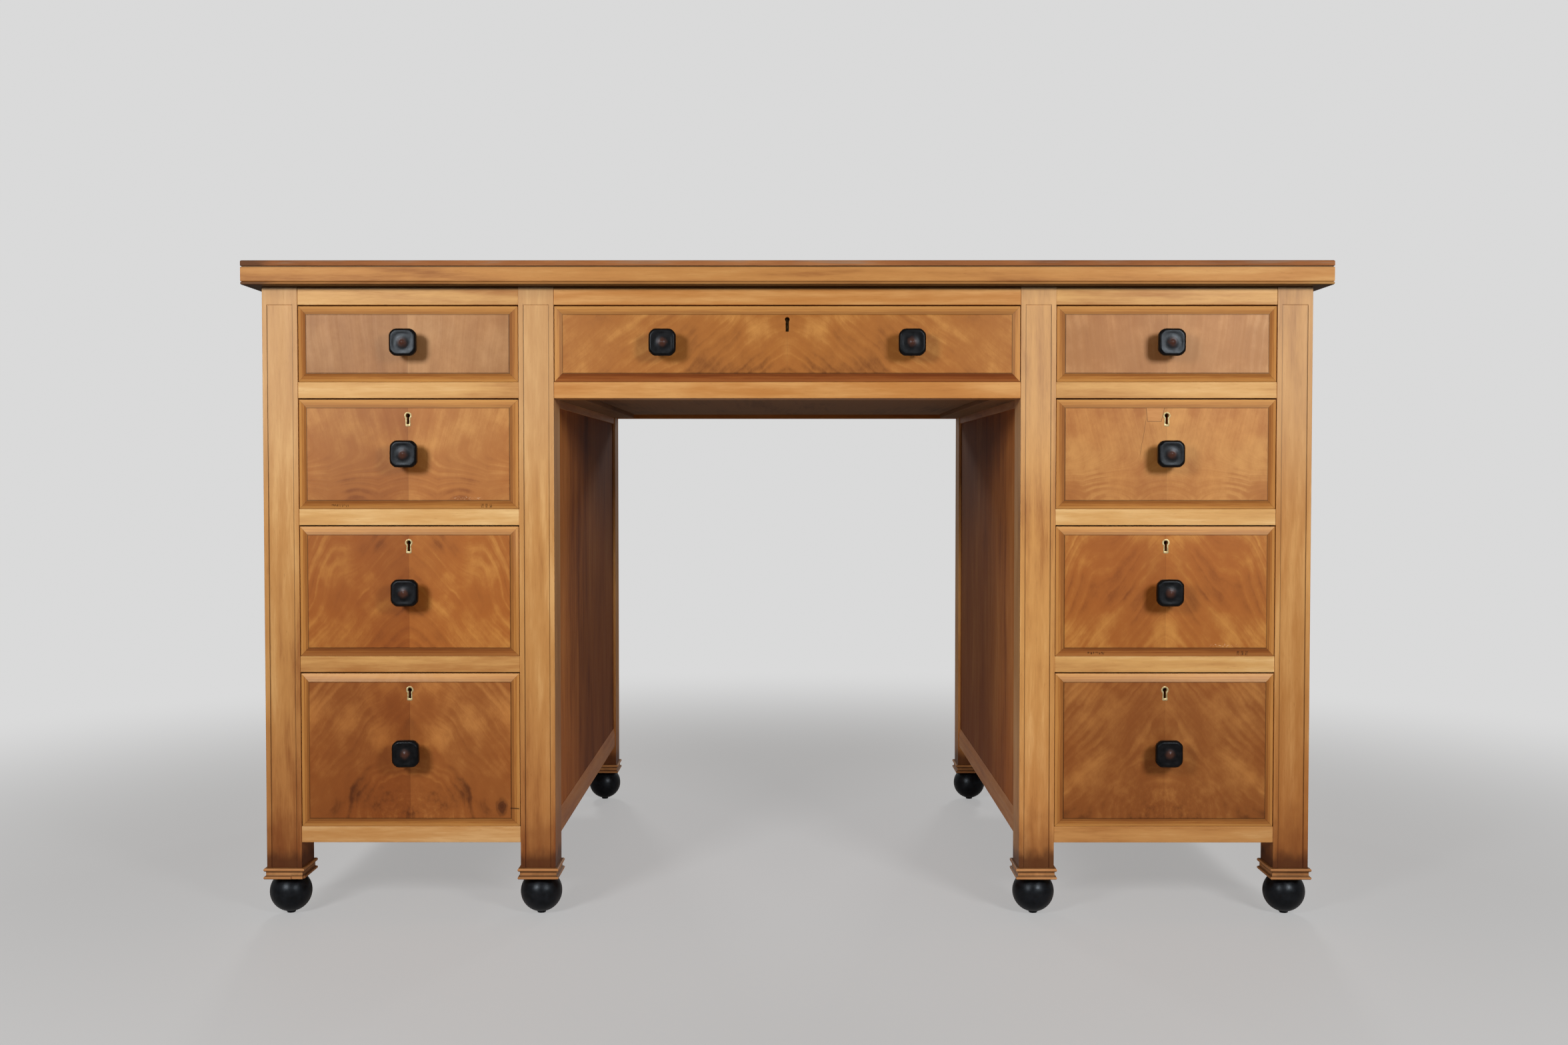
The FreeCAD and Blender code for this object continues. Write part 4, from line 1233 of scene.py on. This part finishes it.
def foot(low, high):
    """A ball on a pip, from the floor to the flat on top.

    Along the ball the radius is the cosine of a sweeping angle and the level its sine, both times the
    radius of the ball. The profile is then carried round the upright line through the foot.
    """
    centre = (low + high) / 2
    middle = PIP_HEIGHT + BALL_RADIUS
    start = math.asin(PIP_JOIN / BALL_RADIUS) - math.pi / 2
    stop = math.asin((high[2] - middle) / BALL_RADIUS)
    sweep = np.linspace(start, stop, 44)
    ball = np.stack([BALL_RADIUS * np.cos(sweep), middle + BALL_RADIUS * np.sin(sweep)], axis=1)
    profile = np.concatenate([[(NEARLY_ZERO, 0.0)], PIP_PROFILE, ball, [(NEARLY_ZERO, high[2])]])
    angle = np.arange(FOOT_TURNS) * 2 * math.pi / FOOT_TURNS
    x = centre[0] + profile[:, :1] * np.cos(angle)
    y = centre[1] + profile[:, :1] * np.sin(angle)
    z = np.broadcast_to(profile[:, 1:], x.shape)
    return np.stack([x, y, z], axis=-1), capped_faces(len(profile), FOOT_TURNS)


foot_finish = ebony("ebonised wood, feet", linear(7, 7, 9), linear(19, 20, 24), 0.28)
feet = [foot(low, high) for low, high in boxes_of("ball_feet")]
mesh = new_mesh("ball_feet_turned", *joined(feet), TURNED_SHARP)
stand_in(show(mesh, "ball_feet_turned", foot_finish), "ball_feet")
print("feet:", len(feet))

# %% [markdown]
# Each leg stands in a collar, a block with a round bead above, a smaller bead below and a sunk band
# between, and the top of the desk has a moulded edge. Both are a profile carried round a rectangle, with
# the corners mitred: each point of the profile is pushed out from the rectangle by the same distance on
# all sides. One function makes both. The grain runs along each side, so it is stored on the corners of
# the faces, which lets it change direction at a mitre.

# %% Moulded rings
RING_STEPS = 24
RING_SHARP = 38


def moulded_ring(profile, middle, half_x, half_y, wear=None):
    """A profile of (outset, level) carried round a rectangle with mitred corners.

    A point is as far out from the middle as half the rectangle plus its outset. Along its side it runs
    from minus to plus half the side plus the same outset, so that the sides meet at 45 degrees.

    Returns the points, the faces and for each face corner the grain vector: how far along its side it is,
    its outset and its level. wear is a function of (side, share along it, outset, level) that gives the
    distance by which the outset is worn back.
    """
    outset, level = np.array(profile).T
    points, grain_along = [], []
    for side in range(4):
        share = np.arange(RING_STEPS + 1) / RING_STEPS
        reach_out = half_y if side % 2 == 0 else half_x
        reach_along = half_x if side % 2 == 0 else half_y
        worn = np.zeros((RING_STEPS + 1, len(outset)))
        if wear is not None:
            worn = wear(side, share[:, None], outset[None, :], level[None, :])
        pushed = outset[None, :] - worn
        along = (2 * share[:, None] - 1) * (reach_along + pushed)
        away = reach_out + pushed
        turn = side * math.pi / 2
        x = along * math.cos(turn) + away * math.sin(turn)
        y = along * math.sin(turn) - away * math.cos(turn)
        z = np.broadcast_to(level[None, :], x.shape)
        points.append(np.stack([x + middle[0], y + middle[1], z], axis=-1))
        grain_along.append(np.stack([along, np.broadcast_to(outset[None, :], along.shape), z], axis=-1))
    faces = grid_faces(RING_STEPS + 1, len(outset))
    count = (RING_STEPS + 1) * len(outset)
    all_faces = np.concatenate([faces + side * count for side in range(4)])
    grain = np.concatenate([g.reshape(-1, 3) + rng.uniform(0, PATTERN_SHIFT, 3) for g in grain_along])
    return np.concatenate([p.reshape(-1, 3) for p in points]), all_faces, grain[all_faces.ravel()]


def show_rings(name, rings, finish, part):
    """Show several rings as one piece in place of a part, the grain on the corners of their faces."""
    grain = np.concatenate([values for *_, values in rings])
    mesh = new_mesh(name, *joined(rings), RING_SHARP, ("grain", grain, "CORNER"))
    stand_in(show(mesh, name, finish), part)


def arc(centre_out, centre_level, radius, start, stop, count):
    """Points of an arc in the profile plane, angles in degrees from straight out, turning upwards."""
    angle = np.radians(np.linspace(start, stop, count))
    return list(zip(centre_out + radius * np.cos(angle), centre_level + radius * np.sin(angle)))


print("ring steps", RING_STEPS)

# %% [markdown]
# The profile of a collar is made of arcs: a bead below, a band sunk between two small hollows, and a wider
# bead above. One collar, at the front left, has lost a piece of its lower bead round the corner that faces
# the kneehole. The chip is a push back of the profile, stronger where a smooth step along the side says
# so, so the mesh stays closed.

# %% The shape of a collar
COLLAR_REACH = 3.5 * MM
COLLAR_BAND = 1.0 * MM
COLLAR_HOLLOW = 0.8 * MM
COLLAR_INSIDE = -8 * MM
UPPER_BEAD = 4.2 * MM
LOWER_BEAD = 3.8 * MM


def collar_profile(low, high):
    """From the inside round the bottom, up over the lower bead, the band and the upper bead."""
    lower, upper, hollow = LOWER_BEAD / 2, UPPER_BEAD / 2, COLLAR_HOLLOW
    profile = [(COLLAR_INSIDE, low)]
    profile += arc(COLLAR_REACH - lower, low + lower, lower, -90, 90, 7)
    profile += arc(COLLAR_BAND + hollow, low + LOWER_BEAD + hollow, hollow, 270, 180, 4)
    profile += arc(COLLAR_BAND + hollow, high - UPPER_BEAD - hollow, hollow, 180, 90, 4)
    profile += arc(COLLAR_REACH - upper, high - upper, upper, -90, 90, 9)
    return profile + [(COLLAR_INSIDE, high)]


def chipped(side, share, outset, level):
    """How far the lower bead of one collar is broken away, round its front right corner.

    It is the outset past a ragged line, times a smooth step along the side and one down to the bead.
    """
    if side == 0:
        along = smooth_step((share - 0.66) / 0.05)
    elif side == 1:
        along = 1 - smooth_step((share - 0.04) / 0.06)
    else:
        return np.zeros(np.broadcast_shapes(share.shape, outset.shape))
    low_bead = smooth_step((collar_low.z + LOWER_BEAD + 1.2 * MM - level) / (0.8 * MM))
    ragged = 0.4 * MM * np.sin(share * 61) * np.sin(share * math.pi)
    return along * low_bead * np.clip(outset - 0.6 * MM + ragged, 0, None)


def collar(low, high):
    """The ring of the collar in the box from low to high, chipped if it is the first at the front."""
    half = (high - low) / 2 - COLLAR_REACH
    first = low[0] < collar_low.x + 1 * MM and low[1] < 0
    return moulded_ring(collar_profile(low[2], high[2]), (low + high) / 2, half[0], half[1],
                        chipped if first else None)


print("collar profile:", len(collar_profile(collar_low.z, collar_high.z)), "points")

# %% [markdown]
# The collars are brown, and wax and dirt have gathered in the corners beside their beads and under the
# leg. Their finish looks at the height above the foot of the collar, and noise leaves a smear on the band.

# %% Collars of brown walnut


def collar_walnut():
    """Brown walnut with wax and dirt in the corners beside the beads."""
    finish = Finish("walnut, collars", 0.42, 0.35)
    colour, _, streaks = walnut(finish, linear(134, 84, 47), linear(194, 134, 82), linear(222, 170, 116))
    x, y, z = finish.place()
    level = z - collar_low.z
    height = collar_high.z - collar_low.z
    smear = finish.noise(x * 90, y * 90, z * 60, detail=3.0).ramp(0.38, 0.6)
    above_lower = level.band(LOWER_BEAD - 0.5 * MM, LOWER_BEAD + 1.2 * MM, 0.6 * MM)
    below_upper = level.band(height - UPPER_BEAD - 1.4 * MM, height - UPPER_BEAD + 0.8 * MM, 0.6 * MM)
    corners = above_lower.most(below_upper).most(level.ramp(0.9 * MM, 0.2 * MM))
    colour = finish.shade(corners, colour, 0.5)
    band = level.band(LOWER_BEAD, height - UPPER_BEAD, 0.3 * MM)
    colour = finish.shade(band * smear, colour, 0.2)
    seat = level.ramp(height - 0.7 * MM, height - 0.1 * MM)
    colour = finish.shade(seat, colour, 0.5)
    return finish.coat(colour, streaks, bump=0.1 * MM, roughness=streaks * 0.2 + 0.34)


rings = [collar(low, high) for low, high in boxes_of("leg_collars")]
show_rings("leg_collars_moulded", rings, collar_walnut(), "leg_collars")
print("collars:", len(rings))

# %% [markdown]
# The top is a veneered board with a thin rounded lip, which stands two millimetres proud of a tall flat
# fascia. A small bead runs along the bottom of the fascia, and a groove parts it from the lip. The lip
# has collected wear, and painted shade darkens the groove, the bead and the underside of the fascia, so
# their finish looks at the level of each point. The board's polish is dull from use, which also keeps the
# lamps from glaring in it when it is seen from behind.

# %% Walnut for the top
top_low, top_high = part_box("writing_top")
edge_low, edge_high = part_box("top_edge_moulding")
LIP_BOTTOM = edge_high.z
FASCIA_LOW = edge_low.z
BRUISED_END = top_low.x + 36 * MM


def top_walnut(name, dark, middle, light, groove_depth, worn):
    """Walnut for the top and its edge.

    It has painted shade in the groove, over the bead and underneath, and is bruised near the left end of the
    front. worn is how much the lip is greyed and the polish dulled.
    """
    finish = Finish(name, 0.4, 0.28)
    colour, pores, streaks = walnut(finish, dark, middle, light)
    x, y, z = finish.place()
    # Painted shade in the groove under the lip.
    groove = z.band(LIP_BOTTOM - 1.3 * MM, LIP_BOTTOM + 0.1 * MM, 0.3 * MM)
    colour = finish.shade(groove, colour, groove_depth)
    # Painted shade on the underside of the fascia's bead.
    under = z.ramp(FASCIA_LOW + 1.4 * MM, FASCIA_LOW + 0.5 * MM)
    colour = finish.shade(under, colour, 0.78)
    # Painted shade over the bead, which the lamps barely light.
    bead = z.ramp(FASCIA_LOW + 4.6 * MM, FASCIA_LOW + 3.8 * MM)
    colour = finish.shade(bead, colour, 0.3)
    knocks = finish.noise(x * 36, y * 36, z * 300, detail=4.0)
    end = (x + knocks * (40 * MM)).ramp(BRUISED_END + 25 * MM, BRUISED_END)
    lip_edge = z.ramp(LIP_BOTTOM - 0.5 * MM, LIP_BOTTOM + 0.5 * MM)
    bead_edge = z.ramp(FASCIA_LOW + 4 * MM, FASCIA_LOW + 3 * MM)
    front = y.ramp(top_low.y + 6 * MM, top_low.y + 2 * MM)
    colour = finish.mix(end * lip_edge.most(bead_edge) * front * 0.7, colour, linear(72, 48, 38))
    if worn:
        rubbed = finish.noise(x * 14, y * 14, z * 200, detail=4.0).ramp(0.46, 0.66)
        upper = z.ramp(LIP_BOTTOM + 1 * MM, LIP_BOTTOM + 3 * MM)
        below_top = z.ramp(top_high.z - 0.2 * MM, top_high.z - 1.5 * MM)
        colour = finish.mix(rubbed * (upper * below_top) * worn, colour, linear(150, 128, 108))
    return finish.coat(colour, pores.flipped() * 0.3 + streaks * 0.4, bump=0.05 * MM,
                       roughness=pores * 0.1 + streaks * 0.1 + (0.43 + 0.36 * worn))


board_finish = top_walnut("walnut, writing top", linear(112, 62, 34), linear(158, 98, 56),
                          linear(186, 126, 78), 0.55, 0.5)
edge_finish = top_walnut("walnut, top edge", linear(146, 86, 42), linear(197, 137, 75),
                         linear(216, 164, 99), 0.8, 0)
print("top", [round(size, 4) for size in top_high - top_low])

# %% [markdown]
# The board is a ring with its lip as the profile, and two large flat faces close it above and below. On
# these the grain isn't read along the ring's sides but straight along the desk, so the ring's own flat
# strip takes the same coordinates as the faces, and no joint shows between them.

# %% The writing top and its edge
LIP_ROUND = 1.8 * MM
LOW_ROUND = 0.6 * MM
FLAT_INSET = -60 * MM
REBATE = -21.9 * MM
EDGE_INSIDE = -20 * MM
QUIRK = 1.2 * MM
EDGE_BEAD = 2.0 * MM
EDGE_FIT = 0.05 * MM
FLAT_GRAIN_STEP = 3.0


def top_board():
    """The lip's profile carried round, with the flat top and underside closing it.

    The faces that would close the profile itself are left out. The first and the last point of each
    profile make the outlines of the two flat faces.
    """
    profile = [(FLAT_INSET, top_high.z)]
    profile += arc(-LIP_ROUND, top_high.z - LIP_ROUND, LIP_ROUND, 90, 0, 8)
    profile += arc(-LOW_ROUND, LIP_BOTTOM + LOW_ROUND, LOW_ROUND, 0, -90, 4)
    profile += [(REBATE, LIP_BOTTOM), (REBATE, top_low.z), (FLAT_INSET, top_low.z)]
    points, faces, grain = moulded_ring(profile, (0, 0), top_high.x, top_high.y)
    columns = len(profile)
    not_closing = np.ptp(faces % columns, axis=1) < columns - 1
    faces, grain = faces[not_closing], grain.reshape(-1, 4, 3)[not_closing]
    flat = (faces % columns).max(axis=1) <= 1
    grain[flat] = points[faces[flat]] + FLAT_GRAIN_STEP
    row_starts = (np.arange(4)[:, None] * (RING_STEPS + 1) + np.arange(RING_STEPS)).ravel() * columns
    caps = [row_starts, row_starts + columns - 1]
    cap_grain = [points[cap] + FLAT_GRAIN_STEP for cap in caps]
    return points, faces.tolist() + caps, np.concatenate([grain.reshape(-1, 3)] + cap_grain)


def edge_moulding():
    """The fascia with its bead, closed behind so that it is a solid strip."""
    low, high = FASCIA_LOW, LIP_BOTTOM
    bead_top = low + 2 * EDGE_BEAD
    profile = [(EDGE_INSIDE, high), (-QUIRK, high), (-QUIRK, high - QUIRK), (-0.3 * MM, high - QUIRK),
               (0.0, high - QUIRK - 0.3 * MM), (0.0, bead_top + 0.7 * MM), (-0.7 * MM, bead_top)]
    profile += arc(-EDGE_BEAD, low + EDGE_BEAD, EDGE_BEAD, 90, -90, 9)
    profile += [(EDGE_INSIDE, low)]
    return moulded_ring(profile, (0, 0), edge_high.x - EDGE_FIT, edge_high.y - EDGE_FIT)


show_rings("writing_top_board", [top_board()], board_finish, "writing_top")
show_rings("top_edge_strips", [edge_moulding()], edge_finish, "top_edge_moulding")
print("edge", round(LIP_BOTTOM - FASCIA_LOW, 4), "high")

# %% [markdown]
# Each lower pedestal drawer has a brass thread escutcheon, a narrow ring let into the veneer round the
# keyhole, which keeps the key from splitting the wood. Its inner and outer outlines are the same keyhole
# figure at two sizes, a round head that runs into a tail, and the ring between them is slightly domed
# and turns in to line the hole.

# %% The shape of an escutcheon
KEY_DROP = 19.0 * MM
RING_DOME = ((0.0, -0.5), (0.0, 0.05), (0.12, 0.16), (0.5, 0.22), (0.86, 0.16), (1.0, 0.0), (1.0, -3.0))


def keyhole_outline(head, half_slot, half_foot, drop, corner):
    """Points round a keyhole: an arc over the head, two sides that may flare, and a rounded foot."""
    join = math.sqrt(head ** 2 - half_slot ** 2)
    past_side = math.acos(half_slot / head)
    angle = np.linspace(-past_side, math.pi + past_side, 40)
    round_head = np.stack([head * np.cos(angle), head * np.sin(angle)], axis=1)
    down = np.linspace(0, 1, 8)[1:]
    left_side = np.stack([-half_slot - (half_foot - half_slot) * down,
                          -join - (drop - corner - join) * down], axis=1)
    bend = np.linspace(0, math.pi / 2, 6)[1:]
    left_foot = np.stack([-half_foot + corner * (1 - np.cos(bend)),
                          -drop + corner * (1 - np.sin(bend))], axis=1)
    left = np.concatenate([left_side, left_foot])
    return np.concatenate([round_head, left, left[::-1] * [-1, 1]])


def escutcheon(low, high):
    """A ring between two keyhole outlines: proud in the middle, and turned in to line the hole.

    Each row is the outer outline, moved a share of the way to the inner one, at a height of its own.
    """
    outer = keyhole_outline(4.4 * MM, 2.75 * MM, 3.15 * MM, 12.6 * MM, 1.4 * MM)
    inner = keyhole_outline(2.5 * MM, 1.4 * MM, 1.45 * MM, 10.0 * MM, 0.3 * MM)
    share, rise = np.array(RING_DOME).T[:, :, None]
    x = (low.x + high.x) / 2 + outer[:, 0] + (inner - outer)[:, 0] * share
    z = high.z - KEY_DROP + outer[:, 1] + (inner - outer)[:, 1] * share
    y = np.broadcast_to(low.y - rise * MM, x.shape)
    return np.stack([x, y, z], axis=-1), grid_faces(len(RING_DOME), len(outer), wrap_rows=True)


print("rows across the ring:", len(RING_DOME))

# %% [markdown]
# The brass has lost its shine, and the locks behind the fronts are darker than the rings that hands and
# keys rub. The bolts are steel. All three are the same dull metal with other colours.

# %% Old brass and steel
ESCUTCHEON_SHARP = 60


def old_metal(name, dark, light, roughness):
    """Metal with a dull, uneven skin."""
    finish = Finish(name, roughness, 0.5, WHITE)
    finish.shader.inputs["Metallic"].default_value = 0.7
    x, y, z = finish.place()
    skin = finish.noise(x * 300, y * 300, z * 300, detail=4.0)
    colour = finish.mix(skin.ramp(0.35, 0.7), light, dark)
    return finish.coat(colour, skin, bump=0.04 * MM, roughness=skin * 0.25 + (roughness - 0.1))


brass = old_metal("brass", linear(160, 138, 92), linear(208, 192, 146), 0.5)
dark_brass = old_metal("brass, lock", linear(120, 92, 52), linear(178, 146, 88), 0.45)
steel = old_metal("steel, bolt", linear(104, 102, 98), linear(158, 156, 150), 0.38)
for part in named("lock_"):
    paint(part, dark_brass)
for part in named("bolt_"):
    paint(part, steel)
with_ring = [drawer for drawer in fronts if "lock_" + drawer in nodes and drawer != "centre"]
for drawer in with_ring:
    name = "escutcheon_" + drawer
    points, faces = escutcheon(*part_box(fronts[drawer]))
    ring = show(new_mesh(name, points, faces, ESCUTCHEON_SHARP), name, brass)
    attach(ring, body_of[fronts[drawer]])
print("escutcheons:", len(with_ring))

# %% [markdown]
# The desk stands on a plain pale floor. Near the feet the floor keeps the desk's shadow, and further out
# it fades into the same pale tone that the camera sees behind the desk, so there is no line at the
# horizon. That tone is only for what is seen directly, and it does not light the desk.

# %% A pale floor
BACKDROP = 0.7
FLOOR_GLOW = 0.5
FLOOR_COLOUR = (0.62, 0.62, 0.625, 1.0)
FLOOR_REACH = 14.0


def pale_floor():
    """A matt floor, part of whose tone is the backdrop's own, more of it with the distance from the desk."""
    finish = Finish("pale floor", 0.5, 0.3, WHITE)
    tree = finish.tree
    finish.shader.inputs["Base Color"].default_value = FLOOR_COLOUR
    x, y, _ = finish.place()
    far = (x * x + y * y).root().ramp(0.7, 2.1) * (1 - FLOOR_GLOW) + FLOOR_GLOW
    glow = tree.nodes.new("ShaderNodeEmission")
    glow.inputs["Color"].default_value = (BACKDROP, BACKDROP, BACKDROP, 1)
    path = tree.nodes.new("ShaderNodeLightPath")
    blend = tree.nodes.new("ShaderNodeMixShader")
    plug(tree, far * Wire(tree, path.outputs["Is Camera Ray"]), blend.inputs[0])
    tree.links.new(finish.shader.outputs[0], blend.inputs[1])
    tree.links.new(glow.outputs[0], blend.inputs[2])
    tree.links.new(blend.outputs[0], tree.nodes["Material Output"].inputs["Surface"])
    return finish.material


def floor():
    """A flat square under the desk."""
    mesh = bpy.data.meshes.new("floor")
    corners = np.array([(-1, -1, 0), (1, -1, 0), (1, 1, 0), (-1, 1, 0)]) * FLOOR_REACH
    mesh.from_pydata(corners.tolist(), [], [(0, 1, 2, 3)])
    show(mesh, "floor", pale_floor())


floor()
print("floor", 2 * FLOOR_REACH, "m wide")

# %% [markdown]
# What the camera sees behind the desk is pale. Polish and brass mirror it more dimly, as they would in a
# room whose walls are further away. What does light the desk from all round is a dim warm fill, since most
# of it would come off the wood itself and a warm room. The kind of ray says which of these is meant.

# %% The light all round
FILL = 0.1
FILL_COLOUR = (1.0, 0.8, 0.6)
MIRRORED = 0.24


def surroundings():
    """A dim warm light all round, which looks pale where the camera or a mirror sees it."""
    world = bpy.data.worlds.new("surroundings")
    bpy.context.scene.world = world
    world.use_nodes = True
    tree = world.node_tree
    background = tree.nodes["Background"]
    path = tree.nodes.new("ShaderNodeLightPath")
    seen = Wire(tree, path.outputs["Is Camera Ray"]).most(Wire(tree, path.outputs["Is Transmission Ray"]))
    mirrored = Wire(tree, path.outputs["Is Glossy Ray"])
    strength = seen * (BACKDROP - FILL) + mirrored * (MIRRORED - FILL) + FILL
    plug(tree, strength, background.inputs["Strength"])
    pale = seen.most(mirrored)
    green = pale * (1 - FILL_COLOUR[1]) + FILL_COLOUR[1]
    blue = pale * (1 - FILL_COLOUR[2]) + FILL_COLOUR[2]
    colour = tree.nodes.new("ShaderNodeCombineColor")
    plug(tree, green, colour.inputs[1])
    plug(tree, blue, colour.inputs[2])
    colour.inputs[0].default_value = FILL_COLOUR[0]
    tree.links.new(colour.outputs[0], background.inputs["Color"])


surroundings()
print("backdrop", BACKDROP, "fill", FILL)

# %% [markdown]
